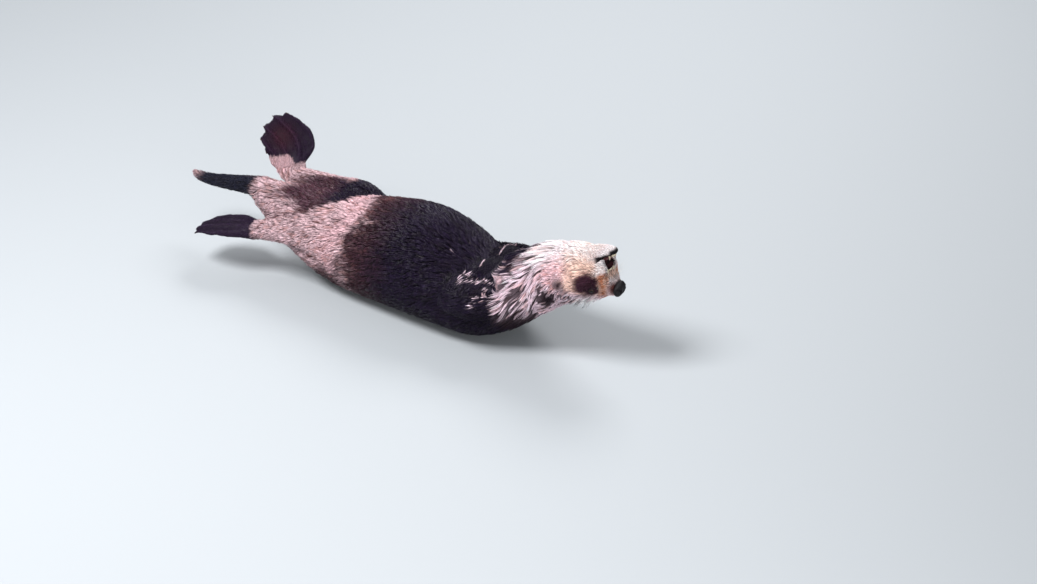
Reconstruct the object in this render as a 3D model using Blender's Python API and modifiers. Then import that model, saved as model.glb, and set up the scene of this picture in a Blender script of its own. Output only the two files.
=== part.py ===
"""A life-size sea otter lying on its back, head to +X and belly up, as one floats.

The head, neck, trunk, tail and limbs are first laid down as simple forms: lofts along
named stations, ellipsoids and fans of toes. One remesh joins and softens them into a
whole body, which thin cuts then part into head, neck, chest and so on. The surface is
the outer face of the coat. Metres, +Z up, floor at z = 0, the otter's left side at -Y.
"""

import math
from collections import namedtuple

import bmesh
import bpy
from mathutils import Matrix, Vector

CM = 0.01

# ---- the whole animal ----
GAP = 0.0004            # clear space left by each cut between two parts
VOXEL = 0.0037          # cell size of the remesh that joins the body
SOFTEN_PASSES = 5       # smoothing passes over the joined body
BODY_TRIANGLES = 2780   # what the whole body is reduced to before it is cut
HEAD_TRIANGLES = 1130   # what the head, with its jaw, is reduced to
FLAT_BACK = 0.0         # level of the resting flats
RING_POINTS = 28        # points round each loft section

# ---- head: its own frame is upright, nose to +x, crown to +z, in centimetres ----
HEAD_CENTRE = Vector((0.437, 0.0, 0.2155))
HEAD_PITCH = math.radians(5.0)      # nose tipped towards the floor
JAW_HINGE = Vector((-1.6, 0.0, -2.3))
JAW_OPEN = math.radians(25.0)
EYE_PLACE = Vector((3.50, 4.05, 0.65))
EYE_RADIUS = 0.82
EAR_PLACE = Vector((-3.6, 6.9, 0.7))
NOSE_PLACE = Vector((8.33, 0.0, 0.30))
NOSE_HALF = Vector((1.00, 1.95, 1.95))
NOSE_TILT = -0.12
EAR_HALF = Vector((1.25, 0.66, 1.75))
EAR_LEAN = math.radians(62.0)
EAR_HOLLOW = Vector((0.75, 0.35, 0.55))
TONGUE_PLACE = Vector((4.1, 0.0, -3.25))
TONGUE_HALF = Vector((3.0, 1.40, 0.55))
# for each jaw: the x and z of the front teeth, then the x, y and z of the canines
TEETH = {"upper": (5.8, -2.50, 5.5, 1.20, -3.70), "lower": (7.5, -3.80, 6.9, 1.10, -3.75)}

Station = namedtuple("Station", "x back belly half_width")

# The trunk from the root of the tail to inside the head: where its back and belly lie
# above the floor, and half its width.
TRUNK = (
    Station(-0.485, 0.124, 0.186, 0.026),
    Station(-0.440, 0.102, 0.192, 0.052),
    Station(-0.375, 0.066, 0.196, 0.080),
    Station(-0.295, 0.026, 0.202, 0.101),
    Station(-0.215, 0.004, 0.213, 0.115),
    Station(-0.120, -0.003, 0.237, 0.126),
    Station(-0.020, -0.004, 0.249, 0.136),
    Station(0.055, -0.004, 0.232, 0.139),
    Station(0.120, -0.003, 0.198, 0.137),
    Station(0.175, -0.002, 0.182, 0.130),
    Station(0.230, 0.014, 0.204, 0.117),
    Station(0.285, 0.050, 0.243, 0.101),
    Station(0.340, 0.092, 0.269, 0.085),
    Station(0.385, 0.127, 0.279, 0.073),
    Station(0.425, 0.152, 0.280, 0.060),
    Station(0.455, 0.170, 0.268, 0.040),
)

Bone = namedtuple("Bone", "point thick flat")    # a joint with its half sizes

TAIL = (
    Bone(Vector((-0.430, 0.0, 0.160)), 0.034, 0.044),
    Bone(Vector((-0.484, 0.0, 0.167)), 0.024, 0.034),
    Bone(Vector((-0.556, 0.0, 0.156)), 0.018, 0.029),
    Bone(Vector((-0.616, 0.0, 0.147)), 0.0135, 0.025),
    Bone(Vector((-0.650, 0.0, 0.145)), 0.0110, 0.021),
    Bone(Vector((-0.669, 0.0, 0.149)), 0.0090, 0.016),
    Bone(Vector((-0.6828, 0.0, 0.156)), 0.0060, 0.010),
)

# The arm lies along the chest: elbow out at the side, paw brought in below the throat.
ARM = (
    Bone(Vector((0.238, 0.072, 0.124)), 0.046, 0.050),
    Bone(Vector((0.186, 0.112, 0.122)), 0.042, 0.044),
    Bone(Vector((0.143, 0.117, 0.120)), 0.034, 0.036),
    Bone(Vector((0.152, 0.095, 0.138)), 0.027, 0.031),
    Bone(Vector((0.178, 0.066, 0.157)), 0.021, 0.027),
)
PAW_CENTRE = Vector((0.192, 0.046, 0.1775))
PAW_HALF = Vector((0.030, 0.0255, 0.0165))       # along, across, thick
PAW_TOE = Vector((0.0135, 0.0092, 0.0092))

RIGHT_LEG = (
    Bone(Vector((-0.185, 0.076, 0.118)), 0.056, 0.054),
    Bone(Vector((-0.245, 0.082, 0.164)), 0.050, 0.047),
    Bone(Vector((-0.320, 0.086, 0.168)), 0.037, 0.036),
    Bone(Vector((-0.395, 0.088, 0.168)), 0.031, 0.031),
    Bone(Vector((-0.450, 0.088, 0.170)), 0.024, 0.031),
    Bone(Vector((-0.467, 0.088, 0.187)), 0.019, 0.034),
)
LEFT_LEG = (
    Bone(Vector((-0.185, -0.076, 0.114)), 0.056, 0.054),
    Bone(Vector((-0.250, -0.076, 0.132)), 0.048, 0.046),
    Bone(Vector((-0.325, -0.080, 0.130)), 0.037, 0.036),
    Bone(Vector((-0.390, -0.086, 0.118)), 0.028, 0.030),
    Bone(Vector((-0.432, -0.092, 0.107)), 0.019, 0.029),
)

# A hind flipper is a fan of five toes. Its own plane has x across to the fifth toe, the
# longest, and y out along the foot; the toes end on a circle there, and each one bows
# outwards, the first by bow[0] and the fifth by bow[1].
Flipper = namedtuple("Flipper", "ankle along across centre radius angles bow cup")
RIGHT_FLIPPER = Flipper(
    ankle=Vector((-0.463, 0.088, 0.184)),
    along=Vector((-0.28, 0.22, 0.93)),
    across=Vector((0.82, 0.57, 0.0)),
    centre=(0.004, 0.074),
    radius=0.0605,
    angles=(math.radians(212.0), math.radians(86.0)),
    bow=(-0.004, 0.096),
    cup=0.010,
)
LEFT_FLIPPER = Flipper(
    ankle=Vector((-0.428, -0.091, 0.108)),
    along=Vector((-0.955, -0.20, -0.16)),
    across=Vector((0.22, -0.97, 0.02)),
    centre=(0.000, 0.094),
    radius=0.0580,
    angles=(math.radians(158.0), math.radians(56.0)),
    bow=(-0.024, 0.034),
    cup=0.008,
)
TOES = 5
WEB_HALF = 0.0038
TOE_HALF = 0.0078
WEB_NOTCH = 0.07        # how far the web falls short of the circle, as a share
HEEL_WIDTH = 0.062
HEEL_DEPTH = 0.012
FAN_COLUMNS = 40
FAN_STEPS = 22

# ---- where the whole body is parted ----
LIMB_MARGIN = 0.007     # a limb's cut lies this far outside the form it grew from
CELL_MARGINS = {"forepaw_left": 0.001, "forepaw_right": 0.001}
CELL_VOXEL = 0.006
CELL_TRIANGLES = 84
PAW_CELL_PLACE = (0.008, 0.0, 0.002)
PAW_CELL = Vector((0.042, 0.036, 0.024))
JAW_LOW = Vector((0.9, -4.2, -9.0))
JAW_HIGH = Vector((12.0, 4.2, -2.70))
HEAD_CUT = ((0.350, 0.0, 0.18), (0.97, 0.0, -0.20))
CUTS = (
    ("tail", (-0.474, 0.0, 0.15), (-1.0, 0.0, 0.0)),
    ("neck", (0.266, 0.0, 0.13), (0.95, 0.0, 0.10)),
    ("chest", (0.062, 0.0, 0.12), (1.0, 0.0, 0.0)),
    ("hips", (-0.132, 0.0, 0.12), (-1.0, 0.0, 0.0)),
)
FLAT_ANGLE = math.radians(0.6)
SPARE = 0.010           # reduced this far past the head's cut, then trimmed

# ---- colours of the plain solids ----
CREAM = (0.72, 0.60, 0.50, 1.0)
BROWN = (0.050, 0.026, 0.022, 1.0)
TAN = (0.33, 0.21, 0.17, 1.0)
BLACK = (0.012, 0.010, 0.012, 1.0)
PINK = (0.30, 0.10, 0.10, 1.0)
PALE_COAT = ("pale_coat", CREAM, 0.75)
DARK_COAT = ("dark_coat", BROWN, 0.70)
TAN_COAT = ("tan_coat", TAN, 0.70)
FINISHES = {
    "head": PALE_COAT, "lower_jaw": PALE_COAT, "neck": PALE_COAT,
    "ear_left": TAN_COAT, "ear_right": TAN_COAT,
    "eye_left": ("eye", BLACK, 0.08), "eye_right": ("eye", BLACK, 0.08),
    "nose": ("nose_leather", BLACK, 0.35), "tongue": ("tongue_flesh", PINK, 0.40),
    "chest": DARK_COAT, "belly": DARK_COAT, "hips": TAN_COAT, "tail": DARK_COAT,
    "foreleg_left": DARK_COAT, "foreleg_right": DARK_COAT,
    "forepaw_left": DARK_COAT, "forepaw_right": DARK_COAT,
    "hind_leg_left": TAN_COAT, "hind_leg_right": TAN_COAT,
    "hind_flipper_left": DARK_COAT, "hind_flipper_right": DARK_COAT,
}


def material(name, colour, roughness):
    """A Principled material, made once for each name."""
    found = bpy.data.materials.get(name)
    if found:
        return found
    made = bpy.data.materials.new(name)
    made.use_nodes = True
    made.diffuse_color = colour
    shader = made.node_tree.nodes["Principled BSDF"]
    shader.inputs["Base Color"].default_value = colour
    shader.inputs["Roughness"].default_value = roughness
    return made


def link(name, mesh, collection):
    obj = bpy.data.objects.new(name, mesh)
    collection.objects.link(obj)
    return obj


def from_bmesh(name, shape, collection):
    mesh = bpy.data.meshes.new(name)
    shape.to_mesh(mesh)
    shape.free()
    return link(name, mesh, collection)


def head_matrix():
    """From the head's own frame, in centimetres, to the model's."""
    upside_down = Matrix.Rotation(math.pi, 4, "X")
    pitch = Matrix.Rotation(-HEAD_PITCH, 4, "Y")
    scale = Matrix.Scale(CM, 4)
    return Matrix.Translation(HEAD_CENTRE) @ upside_down @ pitch @ scale


def jaw_matrix():
    """From the head's frame with the mouth shut to the same frame with it open."""
    hinge = Matrix.Translation(JAW_HINGE)
    return hinge @ Matrix.Rotation(JAW_OPEN, 4, "Y") @ hinge.inverted()


def ellipsoid(name, centre, radii, collection, placed=None, tilt=0.0, sides=32):
    """An ellipsoid, tilted about its own y axis, then placed."""
    shape = bmesh.new()
    rows = sides * 5 // 8
    bmesh.ops.create_uvsphere(shape, u_segments=sides, v_segments=rows, radius=1.0)
    own = (
        Matrix.Translation(centre)
        @ Matrix.Rotation(tilt, 4, "Y")
        @ Matrix.Diagonal((*radii, 1.0))
    )
    shape.transform((placed or Matrix.Identity(4)) @ own)
    return from_bmesh(name, shape, collection)


def catmull(a, b, c, d, t):
    """A smooth value between b and c; works on numbers and on vectors."""
    return 0.5 * (
        2.0 * b
        + (c - a) * t
        + (2.0 * a - 5.0 * b + 4.0 * c - d) * t * t
        + (3.0 * b - a - 3.0 * c + d) * t * t * t
    )


def resample(rows, steps):
    """Each pair of neighbouring rows gets steps sections, on a smooth curve."""
    made = []
    last = len(rows) - 1
    for i in range(last):
        around = [rows[max(i - 1, 0)], rows[i], rows[i + 1], rows[min(i + 2, last)]]
        for k in range(steps):
            t = k / steps
            made.append([catmull(*column, t) for column in zip(*around)])
    made.append(list(rows[-1]))
    return made


def loft(name, rings, collection):
    """A closed tube through rings of equal length, capped by a fan at each end."""
    shape = bmesh.new()
    loops = [[shape.verts.new(point) for point in ring] for ring in rings]
    count = len(loops[0])
    for low, high in zip(loops, loops[1:]):
        for i in range(count):
            j = (i + 1) % count
            shape.faces.new((low[i], low[j], high[j], high[i]))
    for ring in (loops[0], loops[-1]):
        hub = shape.verts.new(sum((v.co for v in ring), Vector()) / count)
        for i in range(count):
            shape.faces.new((ring[i], ring[(i + 1) % count], hub))
    bmesh.ops.recalc_face_normals(shape, faces=shape.faces)
    if shape.calc_volume(signed=True) < 0.0:
        bmesh.ops.reverse_faces(shape, faces=shape.faces)
    return from_bmesh(name, shape, collection)


def trunk(collection):
    """The long body, fuller below the middle where the flanks hang."""
    rings = []
    for x, back, belly, half_width in resample(TRUNK, 5):
        middle = back + 0.47 * (belly - back)
        ring = []
        for i in range(RING_POINTS):
            angle = 2.0 * math.pi * i / RING_POINTS
            across, up = math.cos(angle), math.sin(angle)
            reach = (belly - middle) if up > 0 else (middle - back)
            power = 0.92 if up > 0 else 0.80
            up = math.copysign(abs(up) ** power, up)
            across = math.copysign(abs(across) ** 0.95, across)
            ring.append(Vector((x, half_width * across, middle + reach * up)))
        rings.append(ring)
    return loft("trunk_form", rings, collection)


def limb(name, bones, collection, wide_to, mirror=1.0):
    """A loft along bones. wide_to is the way its broader half size points."""
    rings = []
    rows = [
        (Vector((b.point.x, b.point.y * mirror, b.point.z)), b.thick, b.flat)
        for b in bones
    ]
    smooth = resample(rows, 6)
    for i, (point, thick, flat) in enumerate(smooth):
        before, after = smooth[max(i - 1, 0)][0], smooth[min(i + 1, len(smooth) - 1)][0]
        along = (after - before).normalized()
        wide = wide_to - along * wide_to.dot(along)
        wide.normalize()
        deep = along.cross(wide)
        ring = []
        for k in range(RING_POINTS):
            angle = 2.0 * math.pi * k / RING_POINTS
            ring.append(
                point
                + wide * flat * math.cos(angle)
                + deep * thick * math.sin(angle)
            )
        rings.append(ring)
    return loft(name, rings, collection)


def fan_axes(plan):
    """A flipper's unit axes: out along the foot, across the toes, out of its face."""
    along = plan.along.normalized()
    across = (plan.across - along * plan.across.dot(along)).normalized()
    return along, across, along.cross(across)


def fan_point(plan, u, out):
    """A point of the fan's middle sheet: u runs across the toes, out from the ankle."""
    toe = math.cos(math.pi * (TOES - 1) * u) ** 2
    angle = plan.angles[0] + (plan.angles[1] - plan.angles[0]) * u
    radius = plan.radius * (1.0 - WEB_NOTCH * (1.0 - toe))
    tip_x = plan.centre[0] + radius * math.cos(angle)
    tip_y = plan.centre[1] + radius * math.sin(angle)
    root_x = (u - 0.5) * HEEL_WIDTH
    bow = plan.bow[0] + (plan.bow[1] - plan.bow[0]) * u ** 1.5
    x = root_x * (1.0 - out) + tip_x * out + bow * 2.0 * out * (1.0 - out)
    y = tip_y * out
    along, across, facing = fan_axes(plan)
    return plan.ankle + across * x + along * y + facing * plan.cup * math.sin(math.pi * out)


def flipper(name, plan, collection):
    """The webbed fan of one hind foot, with a ridge along each toe and a notch between."""
    facing = fan_axes(plan)[2]
    rings = []
    for step in range(FAN_STEPS + 1):
        out = step / FAN_STEPS
        top, under = [], []
        for column in range(FAN_COLUMNS + 1):
            u = column / FAN_COLUMNS
            toe = math.cos(math.pi * (TOES - 1) * u) ** 2
            rim = math.sqrt(max(0.0, 1.0 - (2.0 * u - 1.0) ** 8))
            tip = math.sqrt(1.02 - out ** 10)
            heel = HEEL_DEPTH * (1.0 - out) ** 2
            half = (WEB_HALF + (TOE_HALF - WEB_HALF) * toe + heel) * rim * tip
            place = fan_point(plan, u, out)
            top.append(place + facing * half)
            under.append(place - facing * half)
        rings.append(top + under[-2:0:-1])
    return loft(name, rings, collection)


def flipper_claws(name, plan, collection):
    spots = []
    for toe in range(TOES):
        u = min(max(toe / (TOES - 1), 0.03), 0.97)
        tip = fan_point(plan, u, 0.985)
        direction = (tip - fan_point(plan, u, 0.80)).normalized()
        spots.append((tip, direction))
    return cones(name, spots, 0.0024, 0.007, 5, collection)


def paw_matrix(side):
    """A paw's own frame: x along the toes, y across them, z out of the paw's back."""
    along = Vector((0.34, -0.92 * side, 0.10)).normalized()
    facing = Vector((0.0, 0.12 * side, 1.0))
    facing = (facing - along * facing.dot(along)).normalized()
    across = facing.cross(along)
    centre = Vector((PAW_CENTRE.x, PAW_CENTRE.y * side, PAW_CENTRE.z))
    axes = Matrix((along, across, facing)).transposed().to_4x4()
    return Matrix.Translation(centre) @ axes


def paw_forms(side, collection):
    """A small mitten of a paw: one soft pad with five short toes at its end."""
    placed = paw_matrix(side)
    forms = [ellipsoid("paw_form", Vector(), PAW_HALF, collection, placed)]
    for tip in paw_toes():
        forms.append(ellipsoid("toe_form", tip, PAW_TOE, collection, placed))
    return forms


def paw_toes():
    """The middle of each short toe, in the paw's frame."""
    for toe in range(TOES):
        spread = toe / (TOES - 1) - 0.5
        yield Vector((0.025 - 0.032 * spread * spread, 0.042 * spread, 0.0))


def paw_claws(name, side, collection):
    placed = paw_matrix(side)
    ahead = (placed.to_3x3() @ Vector((1.0, 0.0, -0.15))).normalized()
    spots = [
        (placed @ (toe + Vector((PAW_TOE.x - 0.0012, 0.0, 0.0))), ahead)
        for toe in paw_toes()
    ]
    return cones(name, spots, 0.0018, 0.0070, 4, collection)


def head_forms(collection):
    """Skull, cheeks, muzzle and throat; one ellipsoid each, in the head's frame."""
    placed = head_matrix()
    whole = [
        ((-1.9, 0.0, 0.35), (7.0, 6.9, 5.95), 0.0),        # cranium
        ((-2.6, 0.0, -3.1), (5.6, 5.3, 3.7), 0.05),        # throat
        ((2.5, 0.0, 1.2), (4.1, 4.35, 3.35), 0.10),        # brow and face
        ((3.9, 0.0, -0.35), (3.5, 3.60, 2.80), 0.0),       # muzzle
        ((5.5, 0.0, 0.65), (3.4, 2.35, 2.15), 0.10),        # bridge of the nose
    ]
    paired = [
        ((-0.6, 3.5, -1.3), (4.9, 3.6, 4.2), 0.0),         # cheek
        ((5.10, 1.60, -1.60), (2.05, 1.95, 2.30), 0.0),    # whisker pad
        ((2.3, 2.35, -4.4), (3.2, 1.20, 1.70), 0.22),      # corner of the lips
    ]
    forms = [
        ellipsoid("head_form", Vector(c), Vector(r), collection, placed, tilt)
        for c, r, tilt in whole
    ]
    for c, r, tilt in paired:
        for side in (-1.0, 1.0):
            centre = Vector((c[0], c[1] * side, c[2]))
            forms.append(
                ellipsoid("head_form", centre, Vector(r), collection, placed, tilt)
            )
    return forms


def jaw_forms(collection):
    """The lower jaw with the mouth open: its floor, two sides and the chin."""
    placed = head_matrix() @ jaw_matrix()
    forms = [
        ellipsoid(
            "jaw_form", Vector((3.2, 0.0, -4.90)), Vector((5.4, 3.2, 1.50)),
            collection, placed, -0.06,
        ),
        ellipsoid(
            "jaw_form", Vector((6.8, 0.0, -4.65)), Vector((1.95, 2.1, 1.20)),
            collection, placed,
        ),
    ]
    return forms


def evaluated_mesh(obj):
    graph = bpy.context.evaluated_depsgraph_get()
    graph.update()
    return bpy.data.meshes.new_from_object(obj.evaluated_get(graph))


def settle(obj):
    """Replaces an object's mesh by what its modifiers make of it."""
    mesh = evaluated_mesh(obj)
    obj.modifiers.clear()
    obj.data = mesh


def joined(name, forms, collection):
    """Many forms as one object, not yet united."""
    shape = bmesh.new()
    for form in forms:
        shape.from_mesh(form.data)
        bpy.data.objects.remove(form)
    return from_bmesh(name, shape, collection)


def keep_largest(obj):
    """Drops every loose bit of an object but the one with the most corners."""
    shape = bmesh.new()
    shape.from_mesh(obj.data)
    left = set(shape.verts)
    islands = []
    while left:
        front = [left.pop()]
        island = list(front)
        while front:
            vertex = front.pop()
            for edge in vertex.link_edges:
                other = edge.other_vert(vertex)
                if other in left:
                    left.remove(other)
                    front.append(other)
                    island.append(other)
        islands.append(island)
    islands.sort(key=len)
    loose = [vertex for island in islands[:-1] for vertex in island]
    bmesh.ops.delete(shape, geom=loose, context="VERTS")
    shape.to_mesh(obj.data)
    shape.free()


def unite(obj, voxel, passes):
    """One closed skin round everything in the object, softened."""
    remesh = obj.modifiers.new("join", "REMESH")
    remesh.mode = "VOXEL"
    remesh.voxel_size = voxel
    smooth = obj.modifiers.new("soften", "SMOOTH")
    smooth.factor = 0.5
    smooth.iterations = passes
    settle(obj)
    keep_largest(obj)


def boolean(obj, other, operation):
    cut = obj.modifiers.new("cut", "BOOLEAN")
    cut.operation = operation
    cut.object = other
    cut.solver = "EXACT"
    settle(obj)


def copy_of(obj, name, collection):
    return link(name, obj.data.copy(), collection)


def box(name, low, high, collection, placed=None):
    shape = bmesh.new()
    bmesh.ops.create_cube(shape, size=1.0)
    size = Vector(high) - Vector(low)
    middle = (Vector(high) + Vector(low)) / 2.0
    own = Matrix.Translation(middle) @ Matrix.Diagonal((*size, 1.0))
    shape.transform((placed or Matrix.Identity(4)) @ own)
    return from_bmesh(name, shape, collection)


def beyond(point, normal, margin, collection):
    """All that lies past a plane, as a large box; margin brings the plane nearer."""
    normal = Vector(normal).normalized()
    turn = Vector((0.0, 0.0, 1.0)).rotation_difference(normal).to_matrix().to_4x4()
    placed = Matrix.Translation(Vector(point) - normal * margin) @ turn
    return box("plane_cut", (-1.0, -1.0, 0.0), (1.0, 1.0, 2.0), collection, placed)


def grown(form, amount, collection):
    """A copy of a rounded form, its surface moved out along its normals."""
    made = copy_of(form, form.name + "_grown", collection)
    displace = made.modifiers.new("grow", "DISPLACE")
    displace.mid_level = 0.0
    displace.strength = amount
    settle(made)
    return made


def trim(body, cutter, operation):
    """One Boolean, after which the cutter is gone."""
    boolean(body, cutter, operation)
    bpy.data.objects.remove(cutter)


def part_off(body, name, inner, outer, parts):
    """Takes what is in the inner cutter off the body; the outer one leaves the gap."""
    piece = copy_of(body, name, parts)
    trim(piece, inner, "INTERSECT")
    trim(body, outer, "DIFFERENCE")
    return piece


def part_off_form(body, name, form, margin, parts, cutters):
    """Parts off what lies within a rounded form and a margin round it."""
    inner = grown(form, margin, cutters)
    bpy.data.objects.remove(form)
    unite(inner, CELL_VOXEL, 2)
    reduce(inner, CELL_TRIANGLES)
    return part_off(body, name, inner, grown(inner, GAP, cutters), parts)


def part_off_beyond(body, name, point, normal, parts, cutters):
    inner = beyond(point, normal, 0.0, cutters)
    outer = beyond(point, normal, GAP, cutters)
    return part_off(body, name, inner, outer, parts)


def seat(body, piece, cutters):
    """Hollows the body where a piece sits in it, with the gap all round."""
    trim(body, grown(piece, GAP, cutters), "DIFFERENCE")


def cones(name, spots, radius, length, sides, collection):
    """Small pointed cones, sunk by a third; each spot is a base and a direction."""
    shape = bmesh.new()
    for base, direction in spots:
        turn = Vector((0.0, 0.0, 1.0)).rotation_difference(direction).to_matrix().to_4x4()
        centre = base + direction * length * 0.17
        bmesh.ops.create_cone(
            shape, cap_ends=True, segments=sides, radius1=radius, radius2=radius * 0.12,
            depth=length, matrix=Matrix.Translation(centre) @ turn,
        )
    return from_bmesh(name, shape, collection)


def ear(name, side, collection, cutters):
    """A short rounded ear, leaning out from the head, its hollow facing forward."""
    lean = Matrix.Rotation(EAR_LEAN * -side, 4, "X")
    placed = head_matrix() @ Matrix.Translation(
        Vector((EAR_PLACE.x, EAR_PLACE.y * side, EAR_PLACE.z))
    ) @ lean
    made = ellipsoid(name, Vector(), EAR_HALF, collection, placed, 0.0, 12)
    hollow = ellipsoid("hollow", EAR_HOLLOW, EAR_HALF * 0.62, cutters, placed, 0.0, 8)
    return made, hollow


def tongue(name, collection):
    placed = head_matrix() @ jaw_matrix()
    return ellipsoid(name, TONGUE_PLACE, TONGUE_HALF, collection, placed, 0.08, 10)


def teeth(name, jaw, collection):
    """Two canines and a row of small front teeth for the upper or the lower jaw."""
    placed = head_matrix() @ jaw_matrix() if jaw == "lower" else head_matrix()
    down = 1.0 if jaw == "lower" else -1.0
    row_x, row_z, canine_x, canine_y, canine_z = TEETH[jaw]
    turn = placed.to_3x3().normalized()
    direction = (turn @ Vector((0.0, 0.0, down))).normalized()
    canines = [
        (placed @ Vector((canine_x, canine_y * side, canine_z)), direction)
        for side in (-1.0, 1.0)
    ]
    row = []
    for tooth in range(6):
        across = (tooth - 2.5) * 0.31
        row.append((placed @ Vector((row_x - 0.12 * across ** 2, across, row_z)), direction))
    made = cones(name, canines, 0.0028, 0.011, 6, collection)
    small = cones("front_teeth", row, 0.0014, 0.0055, 4, collection)
    return joined(name, [made, small], collection)


def whole_body(cutters):
    """Every form of flesh united, and the forms that the limbs are parted off with."""
    level = Vector((0.0, 0.0, 1.0))
    sideways = Vector((0.0, 1.0, 0.0))
    limbs = {
        "hind_flipper_left": flipper("flipper", LEFT_FLIPPER, cutters),
        "hind_flipper_right": flipper("flipper", RIGHT_FLIPPER, cutters),
    }
    for side, word in ((-1.0, "left"), (1.0, "right")):
        paw = ellipsoid("paw", Vector(PAW_CELL_PLACE), PAW_CELL, cutters, paw_matrix(side))
        limbs["forepaw_" + word] = paw
    for side, word in ((-1.0, "left"), (1.0, "right")):
        limbs["foreleg_" + word] = limb("arm", ARM, cutters, level, side)
    limbs["hind_leg_left"] = limb("leg", LEFT_LEG, cutters, sideways)
    limbs["hind_leg_right"] = limb("leg", RIGHT_LEG, cutters, sideways)

    forms = [trunk(cutters), limb("tail_form", TAIL, cutters, sideways)]
    forms += head_forms(cutters) + jaw_forms(cutters)
    forms += paw_forms(-1.0, cutters) + paw_forms(1.0, cutters)
    forms += [
        copy_of(form, "limb_form", cutters)
        for name, form in limbs.items()
        if not name.startswith("forepaw")
    ]
    body = joined("body", forms, cutters)
    unite(body, VOXEL, SOFTEN_PASSES)
    return body, limbs


def reduce(obj, triangles):
    decimate = obj.modifiers.new("reduce", "DECIMATE")
    faces = sum(len(p.vertices) - 2 for p in obj.data.polygons)
    decimate.ratio = triangles / faces
    decimate.use_collapse_triangulate = True
    settle(obj)


def merge_flat_faces(obj):
    """Joins the slivers that cutting left in one plane, moving no corner."""
    shape = bmesh.new()
    shape.from_mesh(obj.data)
    bmesh.ops.dissolve_limit(
        shape, angle_limit=FLAT_ANGLE, verts=shape.verts, edges=shape.edges
    )
    bmesh.ops.triangulate(shape, faces=shape.faces)
    shape.to_mesh(obj.data)
    shape.free()


def new_collection(name):
    made = bpy.data.collections.new(name)
    bpy.context.scene.collection.children.link(made)
    return made


def stand_on_floor(pieces):
    """Moves every piece so that the whole is centred over the origin, its flats at 0."""
    corners = [v.co for piece in pieces for v in piece.data.vertices]
    low = Vector([min(c[i] for c in corners) for i in range(3)])
    high = Vector([max(c[i] for c in corners) for i in range(3)])
    shift = Vector((-(low.x + high.x) / 2.0, -(low.y + high.y) / 2.0, -low.z))
    for piece in pieces:
        piece.data.transform(Matrix.Translation(shift))


def main():
    for obj in list(bpy.data.objects):
        bpy.data.objects.remove(obj)
    parts = new_collection("sea_otter")
    cutters = new_collection("cutters")

    body, limbs = whole_body(cutters)
    head = copy_of(body, "head", parts)
    trim(head, beyond(*HEAD_CUT, SPARE, cutters), "INTERSECT")
    reduce(head, HEAD_TRIANGLES)
    reduce(body, BODY_TRIANGLES)
    trim(head, beyond(*HEAD_CUT, 0.0, cutters), "INTERSECT")
    trim(body, beyond(*HEAD_CUT, GAP, cutters), "DIFFERENCE")
    trim(body, box("floor", (-1.0, -1.0, -1.0), (1.0, 1.0, FLAT_BACK), cutters), "DIFFERENCE")

    made = {"head": head}
    for name, form in limbs.items():
        margin = CELL_MARGINS.get(name, LIMB_MARGIN)
        made[name] = part_off_form(body, name, form, margin, parts, cutters)
    jaw_frame = head_matrix() @ jaw_matrix()
    spread = Vector((1.0, 1.0, 1.0)) * GAP / CM
    jaw_box = box("jaw_cut", JAW_LOW, JAW_HIGH, cutters, jaw_frame)
    wider = box("jaw_cut", JAW_LOW - spread, JAW_HIGH + spread, cutters, jaw_frame)
    made["lower_jaw"] = part_off(head, "lower_jaw", jaw_box, wider, parts)
    for name, point, normal in CUTS:
        made[name] = part_off_beyond(body, name, point, normal, parts, cutters)
    made["belly"] = copy_of(body, "belly", parts)
    bpy.data.objects.remove(body)

    placed = head_matrix()
    for side, word in ((-1.0, "left"), (1.0, "right")):
        name = "eye_" + word
        centre = Vector((EYE_PLACE.x, -EYE_PLACE.y * side, EYE_PLACE.z))
        made[name] = ellipsoid(name, centre, [EYE_RADIUS] * 3, parts, placed, 0.0, 12)
        seat(made["head"], made[name], cutters)
        name = "ear_" + word
        made[name], hollow = ear(name, -side, parts, cutters)
        seat(made["head"], made[name], cutters)
        trim(made[name], hollow, "DIFFERENCE")
    made["nose"] = ellipsoid("nose", NOSE_PLACE, NOSE_HALF, parts, placed, NOSE_TILT, 12)
    seat(made["head"], made["nose"], cutters)
    made["tongue"] = tongue("tongue", parts)
    seat(made["head"], made["tongue"], cutters)
    seat(made["lower_jaw"], made["tongue"], cutters)
    trim(made["head"], teeth("teeth", "upper", cutters), "UNION")
    trim(made["lower_jaw"], teeth("teeth", "lower", cutters), "UNION")
    for side, word, plan in ((-1.0, "left", LEFT_FLIPPER), (1.0, "right", RIGHT_FLIPPER)):
        trim(made["hind_flipper_" + word], flipper_claws("claws", plan, cutters), "UNION")
        trim(made["forepaw_" + word], paw_claws("claws", side, cutters), "UNION")

    for name, piece in made.items():
        merge_flat_faces(piece)
        keep_largest(piece)
        piece.name = name
        piece.data.name = name
        piece.data.materials.clear()
        piece.data.materials.append(material(*FINISHES[name]))
    stand_on_floor(made.values())


main()
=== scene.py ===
import math

import bmesh
import bpy
import numpy as np
from mathutils import Matrix, Vector
from mathutils.bvhtree import BVHTree
from mathutils.kdtree import KDTree


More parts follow.
